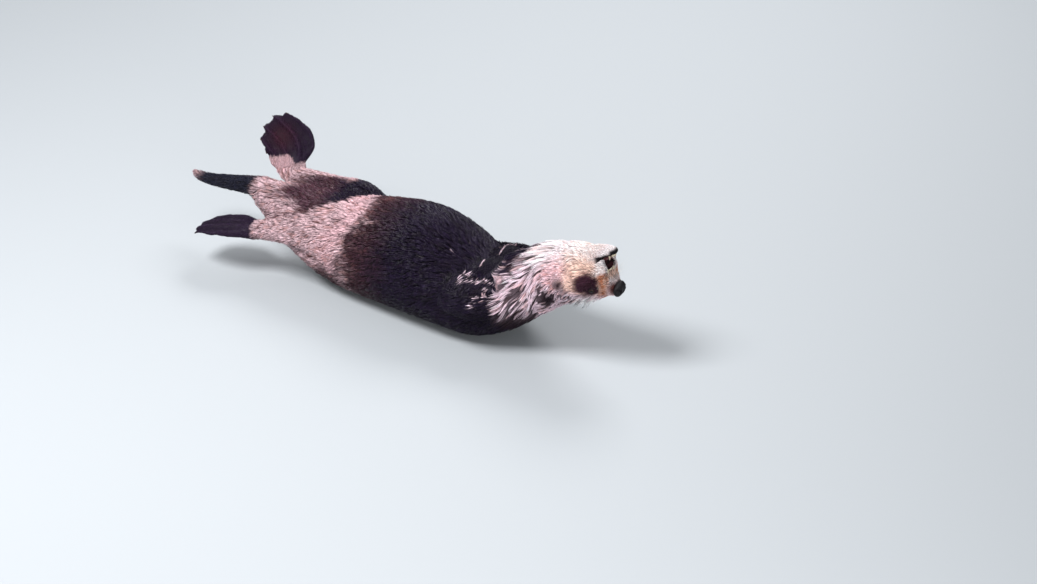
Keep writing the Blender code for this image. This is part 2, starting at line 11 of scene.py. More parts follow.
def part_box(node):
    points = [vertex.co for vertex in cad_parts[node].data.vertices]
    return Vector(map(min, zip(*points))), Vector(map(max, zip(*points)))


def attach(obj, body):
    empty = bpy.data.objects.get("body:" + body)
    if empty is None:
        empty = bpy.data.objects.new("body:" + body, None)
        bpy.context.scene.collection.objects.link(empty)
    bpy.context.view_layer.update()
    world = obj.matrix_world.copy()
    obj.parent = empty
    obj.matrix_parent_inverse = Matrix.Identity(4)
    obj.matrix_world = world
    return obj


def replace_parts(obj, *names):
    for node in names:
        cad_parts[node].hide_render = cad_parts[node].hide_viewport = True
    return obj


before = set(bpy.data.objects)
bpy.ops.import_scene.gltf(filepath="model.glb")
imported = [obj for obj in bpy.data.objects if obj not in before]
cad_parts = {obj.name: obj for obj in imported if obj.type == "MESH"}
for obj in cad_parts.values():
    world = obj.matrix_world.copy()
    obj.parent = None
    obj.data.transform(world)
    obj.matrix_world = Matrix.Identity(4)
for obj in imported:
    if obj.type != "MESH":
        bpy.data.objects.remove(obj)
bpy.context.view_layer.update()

chance = np.random.default_rng(11)
cm = 0.01
mm = 0.001

# What a stretch of the coat is like: how deep it lies over the skin and its locks' length and
# width, in mm; how many grow on a square cm; how far they gather into wet points, how far apart
# those points are as a share of the length, and how late the locks draw together; how far their
# own weight pulls them down; how far the lay wanders, in radians.
kindFields = ("depth", "length", "width", "density", "gather", "gap", "knit", "droop", "swirl")
coatKinds = {
    "head": (4.2, 15.0, 1.40, 22.0, 0.82, 0.30, 0.8, 0.45, 0.90),
    "jaw": (2.4, 8.0, 1.20, 30.0, 0.60, 0.36, 1.2, 0.10, 0.25),
    "ear": (0.8, 3.2, 0.90, 50.0, 0.20, 0.40, 1.4, 0.00, 0.00),
    "neck": (7.5, 50.0, 1.45, 13.0, 0.95, 0.140, 0.45, 1.25, 0.30),
    "trunk": (7.6, 26.0, 2.30, 9.5, 0.82, 0.30, 0.9, 0.45, 0.30),
    "tail": (4.5, 16.0, 2.10, 11.0, 0.65, 0.30, 1.2, 0.20, 0.10),
    "arm": (5.2, 20.0, 2.20, 10.0, 0.78, 0.30, 1.0, 0.25, 0.25),
    "leg": (5.2, 20.0, 2.20, 9.5, 0.78, 0.30, 1.0, 0.30, 0.38),
    "paw": (1.4, 6.0, 1.20, 30.0, 0.30, 0.40, 1.4, 0.00, 0.10),
    "flipper": (0.8, 5.0, 1.20, 20.0, 0.25, 0.40, 1.4, 0.00, 0.10),
}
kindOf = {
    "head": "head", "lower_jaw": "jaw", "ear_left": "ear", "ear_right": "ear",
    "neck": "neck", "chest": "trunk", "belly": "trunk", "hips": "trunk", "tail": "tail",
    "foreleg_left": "arm", "foreleg_right": "arm",
    "forepaw_left": "paw", "forepaw_right": "paw",
    "hind_leg_left": "leg", "hind_leg_right": "leg",
    "hind_flipper_left": "flipper", "hind_flipper_right": "flipper",
}
fleshNodes = list(kindOf)


def boxMiddle(node):
    low, high = (np.array(corner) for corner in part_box(node))
    return (low + high) / 2.0


def side(name):
    return -1.0 if name.endswith("left") else 1.0


def smoothStep(low, high, value):
    share = np.clip((np.asarray(value) - low) / (high - low), 0.0, 1.0)
    return share * share * (3.0 - 2.0 * share)


def unit(vectors):
    length = np.linalg.norm(vectors, axis=-1, keepdims=True)
    return vectors / np.maximum(length, 1e-9)


def along(points, other):
    # row by row dot product, kept as a column
    return np.sum(points * other, axis=-1, keepdims=True)


def hump(values, middle, half):
    # 1 at the middle, falling away softly past the half width
    return np.exp(-((values - middle) / half) ** 2)


def blob(points, centre, size):
    # 1 at the centre of a soft round patch, near 0 past its size
    return np.exp(-np.sum(((points - centre) / size) ** 2, axis=1))


def gapTo(points, place, half=(1.0, 1.0, 1.0)):
    # how far points are from a place, in shares of its half sizes where they are given
    return np.linalg.norm((points - place) / np.array(half), axis=1)


noisePlan = {
    "mix": np.array([12.9898, 78.233, 37.719]),     # unrelated factors that scramble a cell
    "scale": 43758.5453,
    "shift": 17.3,           # keeps one octave's cells off the next one's
}


def latticeValue(cells):
    # one repeatable number from 0 to 1 for each whole-numbered cell
    mixed = np.sin(cells @ noisePlan["mix"]) * noisePlan["scale"]
    return mixed - np.floor(mixed)


def cloud(points, size, octaves=2):
    # smooth noise around 0, about -1 to 1, with blobs of the given size in metres
    total = np.zeros(len(points))
    strength = 1.0
    for octave in range(octaves):
        spot = points / size * (2.0 ** octave) + noisePlan["shift"] * octave
        cell = np.floor(spot)
        part = spot - cell
        part = part * part * (3.0 - 2.0 * part)
        value = np.zeros(len(points))
        for corner in np.ndindex(2, 2, 2):
            corner = np.array(corner)
            weight = np.prod(np.where(corner == 1, part, 1.0 - part), axis=1)
            value += weight * latticeValue(cell + corner)
        total += strength * (2.0 * value - 1.0)
        strength *= 0.5
    return total


# the head's own frame: cm, nose to +x, crown to +z, the mouth's side down
headPlan = {
    "pitch": math.radians(5.0),     # nose tipped towards the floor
    "eye": np.array([3.50, 4.05, 0.65]),
    "nose": np.array([8.33, 0.0, 0.30]),
    "jawHinge": np.array([-1.6, 0.0, -2.3]),
    "jawOpen": math.radians(25.0),
}
bothSides = (1.0, -1.0)
headTurn = np.array(
    Matrix.Rotation(math.pi, 3, "X") @ Matrix.Rotation(-headPlan["pitch"], 3, "Y")
)
jawTurn = np.array(Matrix.Rotation(headPlan["jawOpen"], 3, "Y"))
eyesMiddle = (boxMiddle("eye_left") + boxMiddle("eye_right")) / 2.0
headOrigin = eyesMiddle - headTurn @ (headPlan["eye"] * [1.0, 0.0, 1.0] * cm)


def toHead(points):
    return (np.asarray(points) - headOrigin) @ headTurn / cm


def fromHead(points):
    return np.asarray(points) * cm @ headTurn.T + headOrigin


def toJaw(points):
    # from the head's frame to the one that turns with the lower jaw
    return (points - headPlan["jawHinge"]) @ jawTurn + headPlan["jawHinge"]


def fromJaw(points):
    return (points - headPlan["jawHinge"]) @ jawTurn.T + headPlan["jawHinge"]


def folded(places):
    # places in the head's frame, with its right side laid over its left
    own = toHead(places)
    return np.column_stack([own[:, 0], np.abs(own[:, 1]), own[:, 2]])


# reading and writing meshes
def cornersOf(mesh):
    places = np.zeros(len(mesh.vertices) * 3)
    mesh.vertices.foreach_get("co", places)
    return places.reshape(-1, 3)


def putCorners(mesh, places):
    mesh.vertices.foreach_set("co", np.ascontiguousarray(places).ravel())
    mesh.update()


def normalsOf(mesh):
    normals = np.zeros(len(mesh.vertices) * 3, np.float32)
    mesh.vertex_normals.foreach_get("vector", normals)
    return normals.reshape(-1, 3).astype(float)


def edgesOf(mesh):
    edges = np.zeros(len(mesh.edges) * 2, np.int32)
    mesh.edges.foreach_get("vertices", edges)
    return edges.reshape(-1, 2)


def spread(field, edges, passes):
    # each pass gives a corner the middle value of itself and its neighbours' mean
    count = len(field)
    field = field.reshape(count, -1).astype(float)
    degree = np.maximum(np.bincount(edges.ravel(), minlength=count), 1)
    for _ in range(passes):
        mean = np.empty_like(field)
        for column in range(field.shape[1]):
            values = field[:, column]
            mean[:, column] = (
                np.bincount(edges[:, 0], values[edges[:, 1]], count)
                + np.bincount(edges[:, 1], values[edges[:, 0]], count)
            ) / degree
        field = 0.5 * (field + mean)
    return field


def evaluated(obj):
    graph = bpy.context.evaluated_depsgraph_get()
    graph.update()
    return bpy.data.meshes.new_from_object(obj.evaluated_get(graph))


def addPiece(name, mesh, finish):
    obj = bpy.data.objects.new(name, mesh)
    bpy.context.scene.collection.objects.link(obj)
    mesh.materials.clear()
    mesh.materials.append(finish)
    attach(obj, "root")
    return obj


def shadeSmooth(mesh):
    mesh.polygons.foreach_set("use_smooth", np.ones(len(mesh.polygons), bool))


# skin: one closed surface under the whole coat
skinPlan = {
    "grow": 0.35 * mm,       # closes the cuts between the nodes
    "cell": 4.8 * mm,
    "soften": 9,
    "blend": 14,             # passes that blend one node's coat into the next
    "face": (0.5, 5.0),      # the coat thins between these places along the head, in cm
    "faceThin": 0.55,
    "noseReach": 2.6,        # within so many cm of the nose it is only noseDepth mm deep
    "noseDepth": 1.0,
    "mouth": (5.0, 0.0, -3.2),
    "mouthHalf": (1.5, 1.0, 1.0),
    "fine": {"eye": 2.3, "nose": 3.4, "mouth": 3.2},    # cm round each that the mesh is finer
    "finest": 1.45,          # and finer again round the eyes
}


def hullOf(shape):
    # the ear's hollow is sculpted later, on the finer skin
    hull = bmesh.new()
    for corner in shape.verts:
        hull.verts.new(corner.co)
    made = bmesh.ops.convex_hull(hull, input=hull.verts)
    bmesh.ops.delete(hull, geom=list(set(made["geom_interior"])), context="VERTS")
    bmesh.ops.recalc_face_normals(hull, faces=hull.faces)
    shape.free()
    return hull


def nodeCopies(names, grow):
    # the nodes' own solids in one mesh, each made whole and a little fuller
    whole = bmesh.new()
    for name in names:
        single = bmesh.new()
        single.from_mesh(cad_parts[name].data)
        bmesh.ops.remove_doubles(single, verts=single.verts, dist=1e-5)
        if name.startswith("ear"):
            single = hullOf(single)
        single.normal_update()
        for corner in single.verts:
            corner.co += corner.normal * grow
        copy = bpy.data.meshes.new("copy")
        single.to_mesh(copy)
        single.free()
        whole.from_mesh(copy)
        bpy.data.meshes.remove(copy)
    mesh = bpy.data.meshes.new("flesh")
    whole.to_mesh(mesh)
    whole.free()
    return mesh


def remeshed(mesh, cell, soften):
    holder = bpy.data.objects.new("holder", mesh)
    bpy.context.scene.collection.objects.link(holder)
    remesh = holder.modifiers.new("join", "REMESH")
    remesh.mode = "VOXEL"
    remesh.voxel_size = cell
    smooth = holder.modifiers.new("soften", "SMOOTH")
    smooth.factor = 0.5
    smooth.iterations = soften
    made = evaluated(holder)
    bpy.data.objects.remove(holder)
    return made


def ownersOf(places):
    # for each place, the number of the flesh node whose surface is nearest
    points, triangles, owner = [], [], []
    for number, name in enumerate(fleshNodes):
        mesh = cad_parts[name].data
        start = len(points)
        points += [v.co.copy() for v in mesh.vertices]
        for face in mesh.polygons:
            triangles.append([start + v for v in face.vertices])
            owner.append(number)
    tree = BVHTree.FromPolygons(points, triangles)
    return np.array([owner[tree.find_nearest(Vector(p))[2]] for p in places])


def refine(mesh, chosen):
    # splits the chosen corners' faces in four and eases the new corners into place
    shape = bmesh.new()
    shape.from_mesh(mesh)
    shape.verts.ensure_lookup_table()
    inside = set(np.nonzero(chosen)[0].tolist())
    edges = [e for e in shape.edges if all(v.index in inside for v in e.verts)]
    made = bmesh.ops.subdivide_edges(shape, edges=edges, cuts=1, use_grid_fill=True)
    touched = {v for g in made["geom"] if isinstance(g, bmesh.types.BMFace) for v in g.verts}
    bmesh.ops.smooth_vert(
        shape, verts=list(touched), factor=0.5,
        use_axis_x=True, use_axis_y=True, use_axis_z=True,
    )
    shape.to_mesh(mesh)
    shape.free()


def planField(owners, key):
    column = kindFields.index(key)
    values = np.array([coatKinds[kindOf[name]][column] for name in fleshNodes])
    return values[owners]


skinMesh = remeshed(nodeCopies(fleshNodes, skinPlan["grow"]), skinPlan["cell"], skinPlan["soften"])
nodeOf = ownersOf(cornersOf(skinMesh))


def belongsTo(*names):
    return np.isin(nodeOf, [fleshNodes.index(name) for name in names])


# the face carries a thinner coat than the rest of the head, thinnest round the nose
inHead = folded(cornersOf(skinMesh))
face = belongsTo("head", "lower_jaw") * smoothStep(*skinPlan["face"], inHead[:, 0])
coatDepth = planField(nodeOf, "depth") * (1.0 - skinPlan["faceThin"] * face)
nearNose = gapTo(inHead, headPlan["nose"]) < skinPlan["noseReach"]
coatDepth = np.where(nearNose, skinPlan["noseDepth"], coatDepth)
coatDepth = spread(coatDepth, edgesOf(skinMesh), skinPlan["blend"])
putCorners(skinMesh, cornersOf(skinMesh) - normalsOf(skinMesh) * coatDepth * mm)

# finer mesh on the head and feet, again round the eyes, nose, mouth and ears
fineNodes = [
    "head", "lower_jaw", "ear_left", "ear_right", "forepaw_left", "forepaw_right",
    "hind_flipper_left", "hind_flipper_right",
]
refine(skinMesh, belongsTo(*fineNodes))
nodeOf = ownersOf(cornersOf(skinMesh))
inHead = folded(cornersOf(skinMesh))
closeUp = belongsTo("ear_left", "ear_right")
closeUp |= gapTo(inHead, headPlan["eye"]) < skinPlan["fine"]["eye"]
closeUp |= gapTo(inHead, headPlan["nose"]) < skinPlan["fine"]["nose"]
closeUp |= gapTo(inHead, skinPlan["mouth"], skinPlan["mouthHalf"]) < skinPlan["fine"]["mouth"]
refine(skinMesh, closeUp)
refine(skinMesh, gapTo(folded(cornersOf(skinMesh)), headPlan["eye"]) < skinPlan["finest"])
nodeOf = ownersOf(cornersOf(skinMesh))
print("skin:", len(skinMesh.vertices), "corners,", len(skinMesh.polygons), "faces")


# the face: lids, muzzle, lips, mouth and ears, worked on the skin in the head's frame, in cm
facePlan = {
    "eyeAxis": np.array([0.46, 0.86, 0.20]),    # the way an eye looks
    "eyeForward": np.array([1.0, 0.0, -0.10]),  # and the way its opening is long
    "eyeRadius": 0.82,
    "lid": 0.07,                                 # how thick the lids' edges are
    "opening": (0.66, 0.47),                     # half the eye's opening, along and up
    "openingPowers": (1.7, 2.0, 0.52),           # its outline, between an oval and an almond
    "openingEdge": (0.90, 1.06),
    "lidCrown": 0.86,                            # the lids' round part, as a share of their radius
    "lidFoot": 1.75,                             # where the lids run out on the cheek
    "lidBehind": -1.6,
    "lidDepth": -0.5,                            # how far the skin dives behind the eye
    "ear": np.array([-3.6, 6.9, 0.7]),
    "earLean": math.radians(62.0),
    "earHollow": (0.85, 0.30, 0.45),
    "earHollowHalf": (0.85, 0.60, 0.95),
    "earHollowEdge": (0.35, 1.0),
    "earScoop": np.array([-0.55, -0.30, -0.10]),
    "earFuller": 0.30,
    "earBlend": 3,
}


def eyeFrame(flip):
    # the middle of an eye with the ways it looks, forward and up, in the head's frame
    mirror = np.array([1.0, flip, 1.0])
    centre = headPlan["eye"] * mirror
    outward = unit(facePlan["eyeAxis"] * mirror)
    forward = facePlan["eyeForward"]
    forward = unit(forward - outward * (forward @ outward))
    upward = np.cross(outward, forward)
    upward *= np.sign(upward[2])
    return centre, outward, forward, upward


def shapeLids(places):
    radius = facePlan["eyeRadius"] + facePlan["lid"]
    crownReach = facePlan["lidCrown"] * radius
    halfLong, halfTall = facePlan["opening"]
    longPower, tallPower, root = facePlan["openingPowers"]
    for flip in bothSides:
        centre, outward, forward, upward = eyeFrame(flip)
        offset = places - centre
        height = offset @ outward
        flat = offset - height[:, None] * outward
        reach = np.linalg.norm(flat, axis=1)
        near = (reach < facePlan["lidFoot"]) & (height > facePlan["lidBehind"])
        foot = smoothStep(crownReach, facePlan["lidFoot"], reach)
        crown = np.sqrt(np.maximum(radius ** 2 - np.minimum(reach, crownReach) ** 2, 0.0))
        lidHeight = crown * (1.0 - foot) + height * foot
        across = np.abs(flat @ forward) / halfLong
        tall = np.abs(flat @ upward) / halfTall
        gape = (across ** longPower + tall ** tallPower) ** root
        inside = 1.0 - smoothStep(*facePlan["openingEdge"], gape)
        newHeight = lidHeight * (1.0 - inside) + facePlan["lidDepth"] * inside
        places[near] = (flat + newHeight[:, None] * outward + centre)[near]
    return places


def shapeEars(places):
    # each ear grows a little fuller and is hollowed from its front
    flap = spread(belongsTo("ear_left", "ear_right"), edgesOf(skinMesh), facePlan["earBlend"])
    for flip in bothSides:
        mirror = np.array([1.0, flip, 1.0])
        centre = facePlan["ear"] * mirror
        lean = np.array(Matrix.Rotation(-facePlan["earLean"] * flip, 3, "X"))
        own = ((places - centre) @ lean) * mirror * (1.0 + facePlan["earFuller"] * flap)
        inside = gapTo(own, facePlan["earHollow"], facePlan["earHollowHalf"])
        scoop = 1.0 - smoothStep(*facePlan["earHollowEdge"], inside)
        own = own + scoop[:, None] * facePlan["earScoop"]
        changed = (scoop > 0.0) | ((flap[:, 0] > 0.0) & (places[:, 1] * flip > 0.0))
        places[changed] = ((own * mirror) @ lean.T + centre)[changed]
    return places


# the muzzle's swells and hollows; the first row's pairs are a middle and its half sizes
muzzlePlan = {
    "snout": ((7.3, 0.0, 0.45), (1.2, 1.7, 1.5)),
    "pads": ((6.2, 1.7, -1.7), (1.3, 0.9, 1.3)),
    "hollow": ((5.2, 2.9, 1.1), (0.9, 0.9, 0.8)),       # in front of each eye
    "snoutOut": 0.40,
    "padsOut": 0.22,
    "hollowIn": 0.18,
    "grooveWide": 0.22,      # the groove from the nose down to the lip
    "grooveZ": (-1.7, 1.2),
    "grooveX": (5.6, 6.4),
    "grooveIn": 0.22,
    "collarX": (7.7, 0.9),   # the rim that the nose pad sits on
    "collarEdges": ((2.7, 1.5), (0.2, 0.9)),
    "collarWider": 0.20,
    "lipZ": (-2.6, 1.35),    # the upper lip, drawn back under the nose
    "lipX": (4.9, 7.1),
    "lipClear": (0.4, 0.9),
    "lipBack": 1.10,
    "flewX": (4.9, 1.5),     # the pads' hanging edges
    "flewAside": (1.2, 1.8),
    "flewZ": (-1.9, -3.2),
    "flewDown": 1.4,
}


def shapeMuzzle(places, normals):
    plan = muzzlePlan
    x, y, z = places.T
    aside = np.abs(y)
    half = np.column_stack([x, aside, z])
    # the muzzle comes forward round the nose and its pads bulge beside it
    grooveMiddle, grooveLong = plan["grooveZ"]
    groove = np.exp(-(aside / plan["grooveWide"]) ** 2 - ((z - grooveMiddle) / grooveLong) ** 2)
    groove *= smoothStep(*plan["grooveX"], x)
    swell = plan["padsOut"] * blob(half, *plan["pads"]) - plan["grooveIn"] * groove
    swell -= plan["hollowIn"] * blob(half, *plan["hollow"])
    places = places + normals * swell[:, None]
    places[:, 0] += plan["snoutOut"] * blob(half, *plan["snout"])
    # and it widens to the nose pad's rim
    aboveNose = z - headPlan["nose"][2]
    spoke = np.hypot(aside, aboveNose)
    outer, inner = plan["collarEdges"]
    collar = hump(x, *plan["collarX"]) * smoothStep(*outer, spoke) * smoothStep(*inner, spoke)
    places[:, 1] *= 1.0 + plan["collarWider"] * collar
    places[:, 2] += plan["collarWider"] * collar * aboveNose
    # under the nose the upper lip draws back, and the pads hang over the mouth's sides
    lip = hump(z, *plan["lipZ"]) * smoothStep(*plan["lipX"], x)
    lip *= 1.0 - smoothStep(*plan["lipClear"], collar)
    places[:, 0] -= plan["lipBack"] * lip * belongsTo("head")
    flew = hump(x, *plan["flewX"]) * smoothStep(*plan["flewAside"], aside)
    flew *= smoothStep(*plan["flewZ"], z)
    places[:, 2] -= plan["flewDown"] * flew * belongsTo("head")
    return places


# where the mouth is bare; the floor's places are in the lower jaw's frame
mouthPlan = {
    "back": (0.3, 1.2),
    "palateFacing": (0.35, 0.65),
    "palateFront": (5.3, 5.8),
    "palateAside": (1.3, 1.8),
    "palateBelow": (2.0, 2.6),
    "palateInJaw": -3.1,
    "floorFacing": (0.15, 0.6),
    "floorFront": (7.7, 8.2),
    "floorAside": (1.8, 2.3),
    "floorHeights": (-4.2, -2.2),
    "cornerFacing": (0.15, 0.45),
    "cornerX": (1.0, 4.6),
    "cornerAside": 2.0,
    "cornerBelow": -2.3,
    "cornerInJaw": -3.9,
    "halfWidth": 2.1,
    "arch": 0.50,            # how far the palate rises
    "sink": -0.40,           # and the floor drops
}


def between(values, limits):
    return (values > limits[0]) & (values < limits[1])


def mouthLining(places, normals):
    # 1 on the palate and the floor of the mouth, 0 on the coat
    plan = mouthPlan
    jaw = toJaw(places)
    jawNormals = toJaw(normals + headPlan["jawHinge"]) - headPlan["jawHinge"]
    x, y, z = places.T
    aside = np.abs(y)
    palate = smoothStep(*plan["palateFacing"], -normals[:, 2]) * smoothStep(*plan["back"], x)
    palate *= 1.0 - smoothStep(*plan["palateFront"], x)
    palate *= 1.0 - smoothStep(*plan["palateAside"], aside)
    palate *= smoothStep(*plan["palateBelow"], -z) * (jaw[:, 2] > plan["palateInJaw"])
    floor = smoothStep(*plan["floorFacing"], jawNormals[:, 2]) * smoothStep(*plan["back"], jaw[:, 0])
    floor *= 1.0 - smoothStep(*plan["floorFront"], jaw[:, 0])
    floor *= 1.0 - smoothStep(*plan["floorAside"], aside)
    floor *= between(jaw[:, 2], plan["floorHeights"])
    corner = smoothStep(*plan["cornerFacing"], normals[:, 0]) * between(x, plan["cornerX"])
    corner *= (aside < plan["cornerAside"]) & (z < plan["cornerBelow"])
    corner *= jaw[:, 2] > plan["cornerInJaw"]
    bare = np.where(belongsTo("lower_jaw"), floor, palate)
    return np.maximum(bare, corner) * belongsTo("head", "lower_jaw")


def shapeMouth(places, lining):
    # the palate arches and the floor sinks, so the lips stand round them
    middle = np.clip(1.0 - (np.abs(places[:, 1]) / mouthPlan["halfWidth"]) ** 2, 0.0, 1.0)
    height = np.where(belongsTo("head"), mouthPlan["arch"], mouthPlan["sink"])
    places[:, 2] += height * (middle * lining)
    return places


# a hind flipper is a fan of five toes: x runs across to the fifth toe, y out along the foot
fanPlans = {
    "hind_flipper_right": {
        "ankle": (-0.3856, 0.0877, 0.1840),
        "along": (-0.28, 0.22, 0.93),
        "across": (0.82, 0.57, 0.0),
        "centre": (0.004, 0.074),
        "radius": 0.0605,
        "angles": (212.0, 86.0),
        "bow": (-0.004, 0.096),
        "cup": 0.010,
    },
    "hind_flipper_left": {
        "ankle": (-0.3506, -0.0913, 0.1080),
        "along": (-0.955, -0.20, -0.16),
        "across": (0.22, -0.97, 0.02),
        "centre": (0.0, 0.094),
        "radius": 0.0580,
        "angles": (158.0, 56.0),
        "bow": (-0.024, 0.034),
        "cup": 0.008,
    },
}
toePlan = {
    "shares": (0.03, 0.25, 0.50, 0.75, 0.97),   # where each toe lies across the fan
    "heel": 62.0 * mm,          # how far apart the outer toes' roots are
    "bowPower": 1.5,            # how much more the outer toes bow than the inner
    "nearest": 0.12,            # where the toes' lines start, as a share of their length
    "places": 40,               # places along each line
    "ridge": 3.4 * mm,          # a toe's height over the web
    "ridgeFrom": (0.10, 0.30),
    "sink": 1.3 * mm,           # how far the web lies back between the toes
    "reach": 4.6 * mm,          # half a toe's width
    "knuckles": (0.36, 0.64, 0.86),
    "knuckleHalf": 0.055,
    "knuckle": 0.9 * mm,
    "rim": (0.80, 0.98),        # how far the web and the tips reach past the fan's edge there
    "webReach": 5.5 * mm,
    "tipReach": 2.5 * mm,
    "shades": (0.78, 0.34, 0.2),    # painted shade and highlight: brightness of the web, of the toes over it, and of the heel
    "shadeEdge": (0.1, 0.3),
}
pawPlan = {
    "centre": (0.2692, 0.046, 0.1775),
    "way": (0.34, -0.92, 0.10),     # along the toes, on the right
    "facing": (0.0, 0.12, 1.0),
    "toeGap": 10.5 * mm,
    "furrows": (-1.5, -0.5, 0.5, 1.5),
    "furrow": 1.6 * mm,
    "furrowReach": 1.7 * mm,
    "furrowFrom": (10.0 * mm, 18.0 * mm),
}


def fanAxes(plan):
    along = unit(np.array(plan["along"]))
    across = np.array(plan["across"])
    across = unit(across - along * (across @ along))
    return along, across, np.cross(along, across)


def fanPoints(plan, share, out):
    # places on a toe's middle line: share runs across the toes, out from the ankle to the tip
    first, last = (math.radians(angle) for angle in plan["angles"])
    angle = first + (last - first) * share
    tipX = plan["centre"][0] + plan["radius"] * math.cos(angle)
    tipY = plan["centre"][1] + plan["radius"] * math.sin(angle)
    rootX = (share - 0.5) * toePlan["heel"]
    innerBow, outerBow = plan["bow"]
    bow = innerBow + (outerBow - innerBow) * share ** toePlan["bowPower"]
    x = rootX * (1.0 - out) + tipX * out + bow * 2.0 * out * (1.0 - out)
    along, across, facing = fanAxes(plan)
    cup = plan["cup"] * np.sin(math.pi * out)
    lift = np.outer(cup, facing)
    return np.array(plan["ankle"]) + np.outer(x, across) + np.outer(tipY * out, along) + lift


def pawAxes(flip):
    # a forepaw's own axes: along the toes, across them, out of its back
    mirror = np.array([1.0, flip, 1.0])
    along = unit(pawPlan["way"] * mirror)
    facing = pawPlan["facing"] * mirror
    facing = unit(facing - along * (facing @ along))
    return pawPlan["centre"] * mirror, along, np.cross(facing, along), facing


def toeRidge(points, plan):
    # 1 on a toe's middle line and 0 on the web, with how far out along the toe each point is
    steps = np.linspace(toePlan["nearest"], 1.0, toePlan["places"])
    lines = np.concatenate([fanPoints(plan, share, steps) for share in toePlan["shares"]])
    outs = np.tile(steps, len(toePlan["shares"]))
    facing = fanAxes(plan)[2]
    offset = points[:, None, :] - lines[None]
    offset -= (offset @ facing)[:, :, None] * facing
    gap = np.linalg.norm(offset, axis=2)
    return hump(gap.min(axis=1), 0.0, toePlan["reach"]), outs[gap.argmin(axis=1)]


def shapeToes(places, normals):
    # the hind toes stand out as knuckled ridges, with the web sunk between them
    for name, plan in fanPlans.items():
        here = belongsTo(name)
        ridge, out = toeRidge(places[here], plan)
        joints = sum(hump(out, knuckle, toePlan["knuckleHalf"]) for knuckle in toePlan["knuckles"])
        height = toePlan["ridge"] * ridge - toePlan["sink"] * (1.0 - ridge)
        height += toePlan["knuckle"] * joints * ridge
        height *= smoothStep(*toePlan["ridgeFrom"], out)
        # the web reaches out nearly as far as the toes' tips
        outward = unit(places[here] - np.array(plan["ankle"]))
        rim = toePlan["webReach"] * (1.0 - ridge) + toePlan["tipReach"]
        rim = rim * smoothStep(*toePlan["rim"], out)
        places[here] += normals[here] * height[:, None] + outward * rim[:, None]
    # furrows part the five short toes of a forepaw
    for name in ("forepaw_left", "forepaw_right"):
        here = belongsTo(name)
        centre, along, across, _ = pawAxes(side(name))
        own = places[here] - centre
        furrow = np.zeros(len(own))
        for middle in pawPlan["furrows"]:
            furrow += hump(own @ across, middle * pawPlan["toeGap"], pawPlan["furrowReach"])
        furrow *= smoothStep(*pawPlan["furrowFrom"], own @ along)
        places[here] -= normals[here] * (furrow * pawPlan["furrow"])[:, None]
    return places


headNormals = normalsOf(skinMesh) @ headTurn
inHead = toHead(cornersOf(skinMesh))
lining = mouthLining(inHead, headNormals)
shaped = shapeMuzzle(inHead, headNormals)
shaped = shapeMouth(shaped, lining)
shaped = shapeLids(shaped)
shaped = shapeEars(shaped)
worked = belongsTo("head", "lower_jaw", "ear_left", "ear_right")
places = cornersOf(skinMesh)
places[worked] = fromHead(shaped)[worked]
places = shapeToes(places, normalsOf(skinMesh))
putCorners(skinMesh, places)
shadeSmooth(skinMesh)
print("face and feet shaped")


# colours, one set for the skin and the coat over it
colours = {
    "cream": (0.82, 0.560, 0.470),
    "blush": (0.78, 0.470, 0.500),
    "lavender": (0.74, 0.560, 0.640),
    "white": (0.86, 0.790, 0.810),
    "ginger": (0.440, 0.155, 0.070),
    "auburn": (0.110, 0.035, 0.030),
    "eyePatch": (0.050, 0.0150, 0.0290),
    "dark": (0.0095, 0.0050, 0.0170),
    "brown": (0.046, 0.018, 0.025),
    "chestnut": (0.130, 0.056, 0.058),
    # the next two colours are painted wet sheen, on the hips, an ankle and the tail's tip
    "tanSheen": (0.54, 0.370, 0.400),
    "paleSheen": (0.60, 0.380, 0.415),
    "plum": (0.046, 0.015, 0.027),
    "maroon": (0.018, 0.0080, 0.0140),
    "slate": (0.0115, 0.0115, 0.0230),
    "foot": (0.024, 0.0115, 0.0340),
    "soleSheen": (0.062, 0.018, 0.034),
    "lip": (0.010, 0.0070, 0.0090),
    "mouth": (0.034, 0.010, 0.013),
}
# pale locks painted as wet glints across the chest, each curved through three places
wispReach = 0.0019
glintWisps = (
    ((0.186, 0.006, 0.200), (0.208, 0.022, 0.198), (0.234, 0.048, 0.188)),
    ((0.231, 0.050, 0.180), (0.240, 0.078, 0.176), (0.240, 0.108, 0.164)),
    ((0.192, -0.054, 0.190), (0.200, -0.036, 0.196), (0.217, -0.018, 0.198)),
    ((0.196, -0.047, 0.192), (0.206, -0.032, 0.197), (0.220, -0.024, 0.197)),
    ((0.264, 0.010, 0.192), (0.256, 0.062, 0.184), (0.236, 0.128, 0.152)),
    ((0.252, -0.034, 0.192), (0.258, -0.046, 0.190), (0.262, -0.062, 0.187)),
    ((0.222, -0.086, 0.172), (0.238, -0.094, 0.170), (0.244, -0.110, 0.162)),
    ((0.226, -0.104, 0.164), (0.236, -0.122, 0.152), (0.252, -0.126, 0.146)),
    ((0.238, -0.088, 0.174), (0.252, -0.094, 0.170), (0.256, -0.108, 0.162)),
    ((0.246, -0.118, 0.156), (0.262, -0.108, 0.162), (0.280, -0.114, 0.154)),
    ((0.262, -0.092, 0.170), (0.272, -0.104, 0.163), (0.290, -0.104, 0.160)),
    ((0.258, -0.126, 0.146), (0.276, -0.130, 0.140), (0.300, -0.126, 0.140)),
    ((0.280, -0.090, 0.168), (0.294, -0.098, 0.162), (0.312, -0.096, 0.158)),
    ((0.286, -0.118, 0.150), (0.304, -0.114, 0.150), (0.330, -0.120, 0.140)),
    ((0.214, -0.066, 0.182), (0.226, -0.078, 0.178), (0.230, -0.094, 0.170)),
    ((0.268, -0.130, 0.138), (0.300, -0.134, 0.128), (0.334, -0.130, 0.120)),
)


